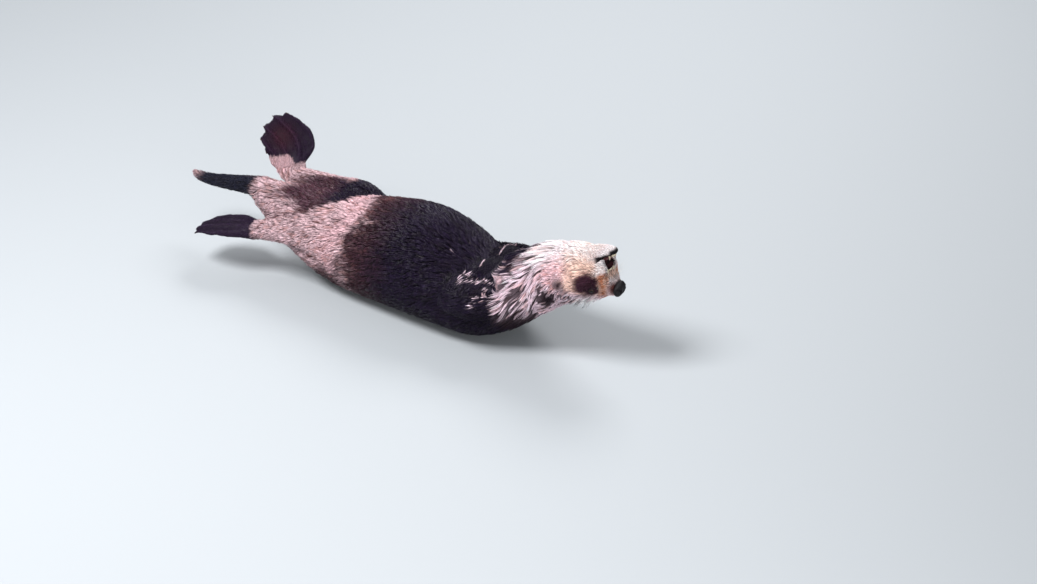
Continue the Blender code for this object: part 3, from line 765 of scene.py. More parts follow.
# the lower edge of the dark patch over the hips: places along the body and across it
thighEdge = (
    (-0.36, -0.30, -0.215, -0.162, -0.115, -0.09),
    (-0.03, -0.035, -0.060, -0.023, 0.045, 0.10),
)
# the front edge of the pale band of painted wet sheen behind the belly: places along the body, then
# across it
bandEdge = (
    (-0.084, -0.084, -0.088, -0.070, -0.049, -0.056, -0.084, -0.087),
    (-0.200, -0.113, -0.094, -0.084, -0.070, -0.020, 0.026, 0.100),
)
# where each mark begins and where it is full: metres on the body, cm in the head's frame
ramps = {
    "rear": (0.085, -0.080),            # the brown half of the trunk
    "reddish": (0.0, 0.9),
    "reddishHeight": (0.09, 0.15),
    "reddishX": (0.06, -0.04),
    "hips": (0.014, -0.012),
    "aheadSide": (-0.045, -0.075),
    "aheadStreaks": (-0.05, 0.60),
    "rumpFlecks": (0.25, 1.2),
    "thighIn": (-0.008, 0.016),
    "thighOut": (-0.010, 0.014),
    "thighFarX": (-0.185, -0.150),
    "thighRear": (-0.365, -0.285),
    "thighHeight": (0.11, 0.15),
    "thighFlecks": (0.3, 1.1),
    "thighDark": (-0.235, -0.175),
    "underStreaks": (0.0, 0.9),
    "underX": (-0.33, -0.29),
    "hipsLow": (0.105, 0.050),
    "ruffTop": (0.175, 0.265),
    "ruffLow": (0.11, 0.04),
    "ruff": (-0.014, 0.018),
    "ruffHeight": (0.095, 0.140),
    "blushPatches": (0.2, 1.0),
    "throatHeight": (0.225, 0.262),
    "whiteStreaks": (0.5, 1.2),
    "tailGlint": (-0.555, -0.590),
    "shoeAcross": (0.002, 0.018),
    "shoe": (-0.003, 0.004),
    "ankle": (-0.355, -0.372),
    "wisp": (1.25, 0.85),
    "wispHeight": (0.12, 0.09),
    "cheekX": (-5.5, -1.0),
    "cheekZ": (3.2, 0.5),
    "throat": (-4.4, -6.6),
    "chinX": (2.0, 5.0),
    "chinZ": (-5.4, -6.6),
    "lipsX": (3.0, 4.2),
    "lipsZ": (-2.6, -3.4),
    "crown": (2.2, 4.4),
    "bandZ": (-3.9, -3.1),
    "lipTop": (-0.6, -1.4),
    "lipMiddle": (1.9, 1.3),
    "aheadOfBand": (0.3, 1.0),
    "blushZ": (-1.8, -0.6),
    "patchEdge": (0.14, 0.42),
    "patchCore": (0.30, 0.58),
    "lowerRimZ": (-4.75, -4.25),        # in the lower jaw's frame, as the next three are
    "lowerRimX": (3.6, 4.8),
    "lowerTipZ": (-5.35, -4.85),
    "lowerTipX": (7.3, 7.8),
    "upperRimZ": (-2.9, -3.4),
    "upperRimX": (5.9, 6.5),
}
# soft bands, by their middle and half width
bands = {
    "palest": (-0.030, 0.036),
    "ahead": (0.018, 0.020),
    "under": (-0.016, 0.018),
    "tailGlintSide": (-0.004, 0.014),
}
# soft round marks, by their middle and half sizes
marks = {
    "ankle": ((-0.398, 0.080, 0.186), (0.034, 0.044, 0.036)),
    "soleSheen": (boxMiddle("hind_flipper_right") + [-0.010, -0.006, 0.012], (0.030, 0.030, 0.034)),
    "whorl": ((-5.0, 6.0, -2.0), (3.6, 3.5, 3.0)),
    "brow": ((2.6, 2.6, 4.3), (2.4, 2.0, 1.6)),
    "besideNose": ((7.55, 1.4, -0.1), (0.75, 1.2, 1.4)),
    "patchRear": ((2.85, 5.1, -0.90), (2.35, 2.6, 2.60)),
    "patchFront": ((3.60, 4.3, 0.45), (1.85, 1.9, 1.55)),
    "inEar": ((-3.6, 7.6, 1.0), (1.4, 1.6, 1.4)),
    "shadowBehindEar": ((-5.7, 7.0, 5.3), (1.5, 2.3, 1.9)),
}
markPlan = {
    "streakStretch": (0.30, 1.0, 1.0),
    "streakSize": 0.011,
    "patchySize": 0.045,
    "fineSize": 0.008,
    "thighFar": (0.086, 0.09),          # its far edge, and how much further that is in front
    "thighSlant": (0.3, 0.04),
    "ruff": (0.330, 0.066, 0.030),      # where the neck turns pale; further back above and below
    "shoe": (0.030, 0.020),             # how high over the ankle the dark of the foot ends
    "footShare": 0.3,
    "footReach": 0.20,
    "wispFlat": np.array([1.0, 1.0, 0.3]),
    "wispLow": 0.05,
    # the ginger band's middle, its slant below and above bandZ, and its half width below that
    "bandX": (6.15, 0.30, 0.15),
    "bandZ": -0.5,
    "bandHalf": (0.62, 0.10, 3.0),
}


def ramp(name, values):
    # how far the values are along the named range, from 0 to 1
    return smoothStep(*ramps[name], values)


def paint(base, colour, amount):
    amount = np.clip(amount, 0.0, 1.0)[:, None]
    return base * (1.0 - amount) + np.array(colours[colour]) * amount


def paintLayers(base, layers):
    # each layer is a colour's name, its strength and where it lies
    for name, strength, where in layers:
        base = paint(base, name, strength * where)
    return base


def grainOf(points):
    # the coat's unevenness: long streaks, wide patches and a fine grain
    return {
        "streak": cloud(points * markPlan["streakStretch"], markPlan["streakSize"]),
        "patchy": cloud(points, markPlan["patchySize"]),
        "fine": cloud(points, markPlan["fineSize"]),
    }


def ragged(values, grain, streak=0.0, patchy=0.0, fine=0.0):
    # values made uneven, so that the edge of a mark wanders
    return values + streak * grain["streak"] + patchy * grain["patchy"] + fine * grain["fine"]


def lineGap(points, start, end):
    # how far each point is from a straight stretch
    start, way = np.array(start), np.array(end) - start
    share = np.clip((points - start) @ way / (way @ way), 0.0, 1.0)
    return np.linalg.norm(points - start - share[:, None] * way, axis=1)


def glintWispsOf(points):
    # the painted glints as seen from above, with little heed to the height
    flat = markPlan["wispFlat"]
    lines = []
    for start, middle, end in glintWisps:
        lines.append(lineGap(points * flat, start * flat, middle * flat))
        lines.append(lineGap(points * flat, middle * flat, end * flat))
    gap = np.min(lines, axis=0) + markPlan["wispLow"] * ramp("wispHeight", points[:, 2])
    return ramp("wisp", gap / wispReach)


def ruffLine(z):
    # where along the body the dark trunk gives way to the pale neck, further back above
    start, above, _ = markPlan["ruff"]
    return start + above * ramp("ruffTop", z)


def shoeOf(points, fine):
    # the dark of the raised foot ends sharply over its ankle, lower on the outer side
    plan = fanPlans["hind_flipper_right"]
    along, across, _ = fanAxes(plan)
    offset = points - np.array(plan["ankle"])
    inner, drop = markPlan["shoe"]
    line = inner - drop * ramp("shoeAcross", offset @ across)
    shoe = ramp("shoe", offset @ along - line + 0.003 * fine)
    return np.where(points[:, 1] > 0.0, shoe, 1.0)


def paintRear(points, colour, grain):
    # brown towards the rear, then hips paled by a painted wet sheen, brightest in a band behind the
    # dark belly
    x, y, z = points.T
    streak, fine = grain["streak"], grain["fine"]
    rear = ramp("rear", ragged(x, grain, streak=0.022, patchy=0.014))
    reddish = ramp("reddish", streak + 0.5 * fine) * ramp("reddishHeight", z) * ramp("reddishX", x)
    behind = x - np.interp(y, bandEdge[1], bandEdge[0])
    hips = ramp("hips", ragged(behind, grain, streak=0.020, patchy=0.006))
    palest = hump(behind, *bands["palest"])
    ahead = hump(behind, *bands["ahead"]) * ramp("aheadSide", y) * ramp("aheadStreaks", streak)
    rump = hips * (1.0 - palest) * ramp("rumpFlecks", streak + 0.6 * fine)
    # a dark patch lies over the hips and the far thigh, reaching the far outline at its front
    far, further = markPlan["thighFar"]
    inward = y - np.interp(x, thighEdge[0], thighEdge[1])
    inward = ragged(inward, grain, streak=0.012, patchy=0.006)
    outward = ragged(far - y + further * ramp("thighFarX", x), grain, streak=0.008)
    thigh = ramp("thighIn", inward) * ramp("thighOut", outward) * ramp("thighHeight", z)
    thigh *= ramp("thighRear", ragged(x, grain, streak=0.012))
    slant, slantY = markPlan["thighSlant"]
    front = ramp("thighDark", ragged(x + slant * (y - slantY), grain, streak=0.010))
    under = hump(inward, *bands["under"]) * ramp("underStreaks", streak) * ramp("underX", x)
    # painted wet sheen: the tan hips, a paler band behind the belly and tan streaks ahead of it
    return paintLayers(colour, [
        ("brown", 1.0, rear),
        ("chestnut", 1.0, rear * reddish),
        ("tanSheen", 1.0, hips),
        ("paleSheen", 1.0, hips * (0.90 * palest + 0.30 * grain["patchy"])),
        ("tanSheen", 0.70, ahead),
        ("chestnut", 1.0, rump),
        ("plum", 1.0, thigh * (0.97 - 0.22 * ramp("thighFlecks", fine))),
        ("dark", 1.0, thigh * front),
        ("plum", 0.75, hips * under),
        ("brown", 1.0, hips * ramp("hipsLow", ragged(z, grain, patchy=0.012))),
    ])


def paintRuff(points, colour, grain, head):
    # the pale head and neck, whitest along the throat
    x, _, z = points.T
    edge = ruffLine(z) + markPlan["ruff"][2] * ramp("ruffLow", z)
    pale = ramp("ruff", ragged(x - edge, grain, streak=0.024, patchy=0.010))
    pale *= ramp("ruffHeight", ragged(z, grain, streak=0.010))
    pale = np.maximum(pale, head)
    patches = ramp("blushPatches", ragged(0.0, grain, patchy=1.0, fine=0.4))
    # whiter towards the top of the throat: pale fur with a painted highlight where the light falls
    white = 0.75 * ramp("throatHeight", z) + 0.30 * ramp("whiteStreaks", grain["streak"])
    return paintLayers(colour, [
        ("lavender", 1.0, pale),
        ("blush", 1.0, pale * patches),
        ("white", 1.0, pale * white),
    ])


def paintFeet(points, colour, grain, foot):
    # dark hind feet, the raised one over an ankle with a painted wet sheen, and a painted reddish sheen
    # on its sole
    shoe = shoeOf(points, grain["fine"])
    ankle = blob(points, *marks["ankle"]) * (1.0 - shoe)
    ankle *= ramp("ankle", ragged(points[:, 0], grain, fine=0.004))
    # painted reddish sheen in the middle of the raised sole
    colour = paintLayers(colour, [
        ("foot", 1.0, foot * shoe),
        ("soleSheen", 1.0, foot * shoe * blob(points, *marks["soleSheen"])),
    ])
    # the toes stand out a little paler than the web: painted shade in the web, a painted highlight
    # along the toes
    web, toe, heel = toePlan["shades"]
    start, end = toePlan["shadeEdge"]
    for plan in fanPlans.values():
        near = (foot > markPlan["footShare"]) & (gapTo(points, plan["ankle"]) < markPlan["footReach"])
        if near.any():
            ridge, out = toeRidge(points[near], plan)
            shade = web + toe * ridge * smoothStep(start, end, out) + heel * smoothStep(end, start, out)
            colour[near] *= shade[:, None]
    # painted wet sheen over the ankle
    return paint(colour, "paleSheen", 1.3 * ankle)


def markings(points, part):
    # part holds, for each point, how far it belongs to the head, feet, tail and so on
    grain = grainOf(points)
    colour = np.tile(np.array(colours["dark"]), (len(points), 1))
    colour = paintRear(points, colour, grain)
    colour = paintRuff(points, colour, grain, part["head"])
    # a painted wet glint along the top of the tail's tip
    tip = part["tail"] * ramp("tailGlint", points[:, 0]) * hump(points[:, 1], *bands["tailGlintSide"])
    colour = paintLayers(colour, [
        ("slate", 1.0, part["tail"]),
        ("tanSheen", 0.8, tip),
        ("dark", 1.0, part["arm"]),
    ])
    colour = paintFeet(points, colour, grain, part["foot"])
    # pale locks painted as wet glints on the chest
    colour = paint(colour, "lavender", glintWispsOf(points))
    return paintFace(points, colour, grain["fine"], part)


def paintFace(points, colour, fine, part):
    own = folded(points)
    x, aside, z = own.T
    head = part["head"]
    # a ginger band over the muzzle, slanting back below and above
    middle, below, above = markPlan["bandX"]
    drop = markPlan["bandZ"] - z
    middle = middle - below * np.maximum(drop, 0.0) - above * np.maximum(-drop, 0.0)
    half, wider, most = markPlan["bandHalf"]
    band = hump(x, middle, half + wider * np.clip(-z, 0.0, most)) * ramp("bandZ", z)
    band *= 1.0 - ramp("lipTop", z) * ramp("lipMiddle", aside)
    ahead = ramp("aheadOfBand", x - middle)
    cheek = ramp("cheekX", x + 0.8 * fine) * ramp("cheekZ", z)
    patch = np.maximum(blob(own, *marks["patchRear"]), blob(own, *marks["patchFront"]))
    # the rims of both lips are bare and dark at the front
    jawX, _, jawZ = toJaw(own).T
    lowerRim = ramp("lowerRimZ", jawZ) * ramp("lowerRimX", jawX)
    lowerTip = ramp("lowerTipZ", jawZ) * ramp("lowerTipX", jawX)
    upperRim = ramp("upperRimZ", z) * ramp("upperRimX", x) * (1.0 - part["jaw"])
    rims = head * np.maximum(np.maximum(lowerRim, lowerTip) * part["jaw"], upperRim)
    return paintLayers(colour, [
        ("cream", 1.0, head * cheek),
        ("blush", 0.80, head * blob(own, *marks["whorl"])),
        ("white", 0.72, head * ramp("throat", z + 0.4 * fine)),
        ("lavender", 0.55, head * ramp("chinX", x) * ramp("chinZ", z)),
        ("white", 0.80, head * ramp("lipsX", x) * ramp("lipsZ", z)),
        ("lavender", 0.90, head * ramp("crown", z + 0.5 * fine)),
        ("white", 1.0, head * blob(own, *marks["brow"])),
        ("white", 1.0, head * ahead * (0.85 + 0.3 * fine)),
        ("blush", 1.0, head * ahead * ramp("blushZ", z) * (0.55 - 0.3 * fine)),
        ("ginger", 1.0, head * band * (0.95 + 0.80 * fine)),
        ("auburn", 1.25, head * blob(own, *marks["besideNose"])),
        ("chestnut", 0.75, head * ramp("patchEdge", patch + 0.14 * fine)),
        ("eyePatch", 1.0, head * ramp("patchCore", patch + 0.12 * fine)),
        ("eyePatch", 0.95, blob(own, *marks["inEar"])),
        # a painted shadow behind each ear
        ("maroon", 1.2, blob(own, *marks["shadowBehindEar"])),
        # dark bare lips, with painted shade spread from them over the mouth's edge
        ("lip", 1.0, np.maximum(part["lip"], rims)),
    ])


# the parts that have a colour of their own, and how softly one passes into the next
partGroups = {
    "head": ("head", "lower_jaw", "ear_left", "ear_right"),
    "tail": ("tail",),
    "foot": ("hind_flipper_left", "hind_flipper_right"),
    "arm": ("foreleg_left", "foreleg_right", "forepaw_left", "forepaw_right"),
    "jaw": ("lower_jaw",),
    "neck": ("neck",),
}
sharePlan = {
    "passes": 10,
    "lipPasses": 18,
    "lip": (0.015, 0.15),        # how near the mouth's lining a lip's dark colour begins and is full, spread wide as painted shade
}


def partShares(owners, edges, lining):
    # how far each corner belongs to each of those parts
    share = {}
    for group, names in partGroups.items():
        hit = np.isin(owners, [fleshNodes.index(name) for name in names])
        share[group] = spread(hit, edges, sharePlan["passes"])[:, 0]
    nearLining = spread(lining, edges, sharePlan["lipPasses"])[:, 0]
    share["lip"] = smoothStep(*sharePlan["lip"], nearLining)
    return share


unwrapPlan = {
    "angle": math.radians(66.0),
    "margin": 0.002,         # between islands, as a share of the unwrap
}


def unwrap(obj):
    # the skin's own unwrap, which the coat's locks share, each at its root's place
    bpy.context.view_layer.objects.active = obj
    obj.select_set(True)
    bpy.ops.object.mode_set(mode="EDIT")
    bpy.ops.mesh.select_all(action="SELECT")
    bpy.ops.uv.smart_project(angle_limit=unwrapPlan["angle"], island_margin=unwrapPlan["margin"])
    bpy.ops.object.mode_set(mode="OBJECT")
    obj.select_set(False)
    obj.data.uv_layers.active.name = "OFBake"


def putColours(mesh, name, rgb):
    layer = mesh.attributes.new(name, "FLOAT_COLOR", "POINT")
    rgba = np.ones((len(rgb), 4), np.float32)
    rgba[:, :3] = rgb
    layer.data.foreach_set("color", rgba.ravel())


def newFinish(name):
    made = bpy.data.materials.new(name)
    made.use_nodes = True
    return made, made.node_tree, made.node_tree.nodes["Principled BSDF"]


def setInputs(node, values):
    for key, value in values.items():
        node.inputs[key].default_value = value


def textureOf(tree, kind, scale, detail):
    # a texture node of the given kind that reads Object coordinates
    where = tree.nodes.new("ShaderNodeTexCoord")
    made = tree.nodes.new(kind)
    setInputs(made, {"Scale": scale, "Detail": detail})
    tree.links.new(where.outputs["Object"], made.inputs["Vector"])
    return made


def rangeOf(tree, source, low, high):
    # a source's 0 to 1 turned into low to high
    made = tree.nodes.new("ShaderNodeMapRange")
    setInputs(made, {"To Min": low, "To Max": high})
    tree.links.new(source, made.inputs["Value"])
    return made.outputs["Result"]


def addRelief(tree, shader, height, strength, distance):
    bump = tree.nodes.new("ShaderNodeBump")
    setInputs(bump, {"Strength": strength, "Distance": distance})
    tree.links.new(height, bump.inputs["Height"])
    tree.links.new(bump.outputs["Normal"], shader.inputs["Normal"])


# grain is how many of its spots lie along a metre; relief is its strength
coatFinishes = {
    "skin": {"roughness": 0.55, "grain": 420.0, "relief": 0.6},
    "wetCoat": {"roughness": 0.34, "grain": 900.0, "relief": 0.25},
    "shades": (0.72, 1.25),
    "shine": 0.16,
    "reliefDepth": 1.0 * mm,
}


def coatFinish(name):
    # the coat's own colour with a finer variation in it, and a fine relief
    plan = coatFinishes[name]
    made, tree, shader = newFinish(name)
    setInputs(shader, {"Roughness": plan["roughness"], "Specular IOR Level": coatFinishes["shine"]})
    colour = tree.nodes.new("ShaderNodeAttribute")
    colour.attribute_name = "coatColour"
    noise = textureOf(tree, "ShaderNodeTexNoise", plan["grain"], 4.0)
    mix = tree.nodes.new("ShaderNodeMix")
    mix.data_type = "RGBA"
    mix.blend_type = "MULTIPLY"
    mix.inputs["Factor"].default_value = 1.0
    tree.links.new(colour.outputs["Color"], mix.inputs["A"])
    tree.links.new(rangeOf(tree, noise.outputs["Fac"], *coatFinishes["shades"]), mix.inputs["B"])
    tree.links.new(mix.outputs["Result"], shader.inputs["Base Color"])
    addRelief(tree, shader, noise.outputs["Fac"], plan["relief"], coatFinishes["reliefDepth"])
    return made


skinShadePlan = {
    "wet": (0.76, 0.88),         # how gathered the coat is where the skin gets painted shade between the wet points
    "height": (0.262, 0.205),
    "strength": 0.9,
    "shade": 0.50,               # painted shade: how dark the skin is made under the coat, and how much darker on the head
    "headShade": 0.12,           # on the head
    "lining": (0.3, 0.8),
}
skinEdges = edgesOf(skinMesh)
skinPlaces = cornersOf(skinMesh)
skinShares = partShares(nodeOf, skinEdges, lining)
skinColour = markings(skinPlaces, skinShares)
wetness = spread(planField(nodeOf, "gather"), skinEdges, skinPlan["blend"])[:, 0]
# painted shade on the skin between the gathered wet points, darker lower down
gapShade = smoothStep(*skinShadePlan["wet"], wetness)
gapShade *= smoothStep(*skinShadePlan["height"], skinPlaces[:, 2])
skinColour = paint(skinColour, "maroon", skinShadePlan["strength"] * gapShade)
# painted shade over all the skin under the coat
skinColour *= (skinShadePlan["shade"] - skinShadePlan["headShade"] * skinShares["head"])[:, None]
# painted shade: the mouth's lining is made nearly black
skinColour = paint(skinColour, "mouth", smoothStep(*skinShadePlan["lining"], lining))
putColours(skinMesh, "coatColour", skinColour)
skin = addPiece("skin", skinMesh, coatFinish("skin"))
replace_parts(skin, *fleshNodes)
unwrap(skin)
print("skin coloured and unwrapped")


# coat: joined meshes of tapered locks that follow the skin
coatPlan = {
    "guideSteps": 6,
    "longRings": 6,          # rings of a neck lock
    "rings": 3,              # rings of any other lock
    "shortRings": 2,         # rings of a lock on the feet, ears and jaw
    "patch": 0.0015,         # half the size of a lock's place on the unwrap
    "floor": 0.5 * mm,       # no lock's middle reaches lower
    "edgeFloor": 0.2 * mm,   # nor its edges
    "most": 196000,          # triangles in one piece
    "whorl": 24.0 * mm,      # size of the swirls in the lay
    "layBlend": 12,
    "brownShade": np.array([0.82, 0.72, 0.68]),       # what the browner strands' colour is multiplied by: brown streaks, partly painted shade between the paler locks
    "hangLean": np.array([-0.4, 0.0, 0.0]),     # how hanging points lean from straight down
}
downward = np.array([0.0, 0.0, -1.0])
# the way the coat lies on each node, before its own weight bends it; the jaw's and the ears' are
# in the head's frame, and those of a pair are the right one's
lays = {
    "lower_jaw": (-1.0, 0.0, -0.15),
    "ear": (-0.3, -1.0, 0.5),
    "forepaw": pawPlan["way"],
    "upperArm": np.array([-0.9, 0.42, -0.1]),
    "lowerArm": np.array([0.35, -0.50, 0.5]),
    "elbow": (0.135, 0.155),
    "thigh": np.array([-1.0, 0.05, 0.0]),
    "shin": np.array([-0.25, 0.2, 0.9]),
    "knee": (-0.335, -0.375),
    "hind_leg_left": (-0.96, -0.15, -0.15),
    "trunk": (-1.0, 0.0, 0.0),
}
# where it spreads from: a place ahead of the nose, and places off the flippers' middles
spreadsFrom = {
    "head": (10.5, 0.0, 0.2),
    "hind_flipper_right": (-0.002, -0.030, -0.105),
    "hind_flipper_left": (0.105, 0.010, 0.014),
}


def layOf(name, places):
    mirror = np.array([1.0, side(name), 1.0])
    if name == "head":
        return unit(toHead(places) - spreadsFrom[name]) @ headTurn.T
    if name.startswith("hind_flipper"):
        return unit(places - (boxMiddle(name) + spreadsFrom[name]))
    if name == "lower_jaw":
        return np.tile(lays[name], (len(places), 1)) @ headTurn.T
    if name.startswith("ear"):
        return np.tile(lays["ear"] * mirror, (len(places), 1)) @ headTurn.T
    if name.startswith("forepaw"):
        return np.tile(lays["forepaw"] * mirror, (len(places), 1))
    if name.startswith("foreleg"):
        share = smoothStep(*lays["elbow"], places[:, 2])[:, None]
        return lays["upperArm"] * mirror * (1.0 - share) + lays["lowerArm"] * mirror * share
    if name == "hind_leg_right":
        share = smoothStep(*lays["knee"], places[:, 0])[:, None]
        return lays["thigh"] * (1.0 - share) + lays["shin"] * share
    return np.tile(lays.get(name, lays["trunk"]), (len(places), 1))


def layField(places, normals, owners, edges):
    lay = np.zeros_like(places)
    for number, name in enumerate(fleshNodes):
        here = owners == number
        lay[here] = layOf(name, places[here])
    lay += downward * planField(owners, "droop")[:, None]
    lay = spread(lay, edges, coatPlan["layBlend"])
    lay = unit(lay - normals * along(lay, normals))
    turn = (fields["swirl"] * cloud(places, coatPlan["whorl"]))[:, None]
    return lay * np.cos(turn) + np.cross(normals, lay) * np.sin(turn)


# how the coat's measures change over the head and the neck; 0.5 more is a half as much again
changePlan = {
    "face": (-1.0, 4.5),
    "faceMore": {"length": -0.50, "width": -0.30, "density": 0.45, "depth": -0.45},
    "muzzle": (4.5, 6.0),
    "muzzleDenser": 0.40,
    "fringe": ((0.8, 3.6, 4.6), (4.4, 2.6, 1.9)),       # the crown's sides
    "brows": ((2.7, 2.3, 4.3), (2.3, 1.7, 1.6)),
    "nape": (0.19, 0.13),
    "fringeLonger": 1.35,
    "browsLonger": 0.55,
    "fringeGather": 0.18,
    "mostGather": 0.95,
    "browsMore": {"width": 0.90, "gap": 0.35},
    "hang": (7.0, 44.0, 9.0),                # mm that the fringe, brows and nape hang clear
    "browsWhite": 1.2,
    # shares of dark points painted as shade between the pale wet points: all over the neck, upper and
    # lower on it, at its edge
    "neckDark": (0.14, 0.34, 0.55, 0.25),
    "neckUpper": (0.250, 0.210),
    "neckLower": (0.150, 0.110),
    "neckEdge": 0.026,
    "crownDark": 0.34,
    "crown": (1.6, 3.6),
    "earDark": 0.90,
    "shadowBehindEar": ((-5.7, 7.0, 5.3), (1.6, 2.4, 2.0)),
    "noseHalf": (1.15, 2.08, 2.18),
    "earHalf": (1.0, 1.3, 1.0),
    "bare": (0.25, 0.98, 0.96),              # no locks on the lining, so near an eye or the nose
    "eyeShort": (0.9, 2.4),
    "noseShort": (0.9, 2.0),
    "earShort": (1.2, 3.2),
    "lipShort": 0.8,
    # what is left of each measure at the edge of the eyes, nose, ears and lips
    "shortShare": {"length": 0.36, "depth": 0.34, "density": 1.5, "width": 0.75, "swirl": 0.35},
}


def coatFields(places, owners, edges, shares, lining):
    plan = changePlan
    made = {}
    for key in kindFields:
        made[key] = spread(planField(owners, key), edges, skinPlan["blend"])[:, 0]
    own = folded(places)
    z = places[:, 2]
    head, neck = shares["head"], shares["neck"]
    face = head * smoothStep(*plan["face"], own[:, 0])
    muzzle = plan["muzzleDenser"] * head * smoothStep(*plan["muzzle"], own[:, 0])
    for key, more in plan["faceMore"].items():
        made[key] *= 1.0 + more * face + (muzzle if key == "density" else 0.0)
    # the brows and the sides of the crown hang in long wet points
    fringe = head * blob(own, *plan["fringe"])
    brows = head * blob(own, *plan["brows"])
    nape = neck * smoothStep(*plan["nape"], z)
    made["length"] *= 1.0 + plan["fringeLonger"] * fringe + plan["browsLonger"] * brows
    made["gather"] = np.clip(made["gather"] + plan["fringeGather"] * fringe, 0.0, plan["mostGather"])
    for key, more in plan["browsMore"].items():
        made[key] *= 1.0 + more * brows
    fringeHang, browsHang, napeHang = plan["hang"]
    made["hang"] = fringeHang * fringe + browsHang * brows + napeHang * nape
    made["white"] = np.clip(plan["browsWhite"] * brows, 0.0, 1.0)
    # some gathered points are painted dark as shade between the pale wet points, more of them lower on
    # the neck and at its edge
    allOver, upper, lower, atEdge = plan["neckDark"]
    neckDark = allOver + upper * smoothStep(*plan["neckUpper"], z)
    neckDark += lower * smoothStep(*plan["neckLower"], z)
    neckDark += atEdge * hump(places[:, 0] - ruffLine(z), 0.0, plan["neckEdge"])
    headDark = plan["crownDark"] * smoothStep(*plan["crown"], own[:, 2]) * (1.0 - brows)
    headDark += plan["earDark"] * blob(own, *plan["shadowBehindEar"])
    made["darkStrands"] = neck * neckDark + head * headDark
    # shorter and finer towards the eyes, nose, ears and lips, and none on them
    eyeGap = gapTo(own, headPlan["eye"])
    noseGap = gapTo(own, headPlan["nose"], plan["noseHalf"])
    earGap = gapTo(own, facePlan["ear"], plan["earHalf"])
    bareLining, bareEye, bareNose = plan["bare"]
    made["bare"] = ((lining > bareLining) | (eyeGap < bareEye) | (noseGap < bareNose)).astype(float)
    short = np.minimum(smoothStep(*plan["eyeShort"], eyeGap), smoothStep(*plan["noseShort"], noseGap))
    short = np.minimum(short, smoothStep(*plan["earShort"], earGap))
    short = np.minimum(short, 1.0 - plan["lipShort"] * shares["lip"])
    for key, share in plan["shortShare"].items():
        made[key] *= share + (1.0 - share) * short
    return made


def readAll(items, key, width, kind):
    # one property of every item of a mesh, a row for each
    values = np.zeros(len(items) * width, kind)
    items.foreach_get(key, values)
    return values.reshape(-1, width)


skinNormals = normalsOf(skinMesh)
fields = coatFields(skinPlaces, nodeOf, skinEdges, skinShares, lining)
lay = layField(skinPlaces, skinNormals, nodeOf, skinEdges)

skinMesh.calc_loop_triangles()
triangles = readAll(skinMesh.loop_triangles, "vertices", 3, np.int32)
triangleLoops = readAll(skinMesh.loop_triangles, "loops", 3, np.int32)
loopPlaces = readAll(skinMesh.uv_layers["OFBake"].data, "uv", 2, np.float32)
triangleCount = len(triangles)

skinTree = BVHTree.FromPolygons(skinPlaces.tolist(), triangles.tolist())
triangleNormals = unit(skinNormals[triangles].mean(axis=1))
triangleLay = unit(lay[triangles].mean(axis=1))
cornerA, cornerB, cornerC = (skinPlaces[triangles[:, k]] for k in range(3))
triangleArea = 0.5 * np.linalg.norm(np.cross(cornerB - cornerA, cornerC - cornerA), axis=1)
triangleFields = {key: value[triangles].mean(axis=1) for key, value in fields.items()}
print("lay of the coat worked out")


def scatter(perSquareCm):
    # roots spread evenly over the skin: their triangles and their places in them
    expected = triangleArea / cm ** 2 * perSquareCm * (triangleFields["bare"] < 0.5)
    count = np.floor(expected + chance.random(triangleCount)).astype(int)
    chosen = np.repeat(np.arange(triangleCount), count)
    first = np.sqrt(chance.random(len(chosen)))
    second = chance.random(len(chosen))
    weights = np.stack([1.0 - first, first * (1.0 - second), first * second], axis=1)
    return chosen, weights


def blendCorners(values, chosen, weights, index=triangles):
    return np.einsum("ij,ijk->ik", weights, values[index[chosen]])


def follow(roots, chosen, heading, lengths, steps):
    # walks each lock over the skin; gives its places and the skin's normals there
    count = len(roots)
    paths = np.zeros((count, steps + 1, 3))
    normals = np.zeros((count, steps + 1, 3))
    paths[:, 0] = roots
    normals[:, 0] = triangleNormals[chosen]
    current = chosen.copy()
    for step in range(1, steps + 1):
        way = triangleLay[current]
        sideways = np.cross(way, triangleNormals[current])
        way = unit(way * np.cos(heading)[:, None] + sideways * np.sin(heading)[:, None])
        ahead = paths[:, step - 1] + way * (lengths / steps)[:, None]
        for i, place in enumerate(ahead.tolist()):
            hit, _, index, _ = skinTree.find_nearest(place)
            paths[i, step] = hit
            current[i] = index
        normals[:, step] = triangleNormals[current]
    return paths, normals


# a guide is where the locks round it gather to a wet point; pairs are the least and the most
guidePlan = {
    "heading": 0.16,
    "length": (0.80, 1.15),
    "tone": 0.12,
    "lift": (0.70, 1.12),
    "darkLift": 0.70,
    "hang": (0.30, 1.0),
    "brownShade": 0.22,
    "tried": 4,
    "facing": 0.4,           # how alike a lock's and its guide's stretches of skin must face
}
guideSpacing = triangleFields["gap"] * triangleFields["length"] * mm / cm
guideCells, guideWeights = scatter(1.0 / guideSpacing ** 2)
guideRoots = blendCorners(skinPlaces, guideCells, guideWeights)
guideCount = len(guideRoots)
guidePaths, guideNormals = follow(
    guideRoots,
    guideCells,
    chance.normal(0.0, guidePlan["heading"], guideCount),
    triangleFields["length"][guideCells] * mm * chance.uniform(*guidePlan["length"], guideCount),
    coatPlan["guideSteps"],
)
guideTone = chance.normal(1.0, guidePlan["tone"], guideCount)
# guides whose points are painted dark as shade between the pale wet points
guideInShade = chance.random(guideCount) < triangleFields["darkStrands"][guideCells]
guideLift = chance.uniform(*guidePlan["lift"], guideCount)
guideLift *= np.where(guideInShade, guidePlan["darkLift"], 1.0)
guideHang = triangleFields["hang"][guideCells] * mm
guideHang *= chance.uniform(*guidePlan["hang"], guideCount)
guideBrownShade = chance.random(guideCount) < guidePlan["brownShade"]
print("guides:", guideCount)


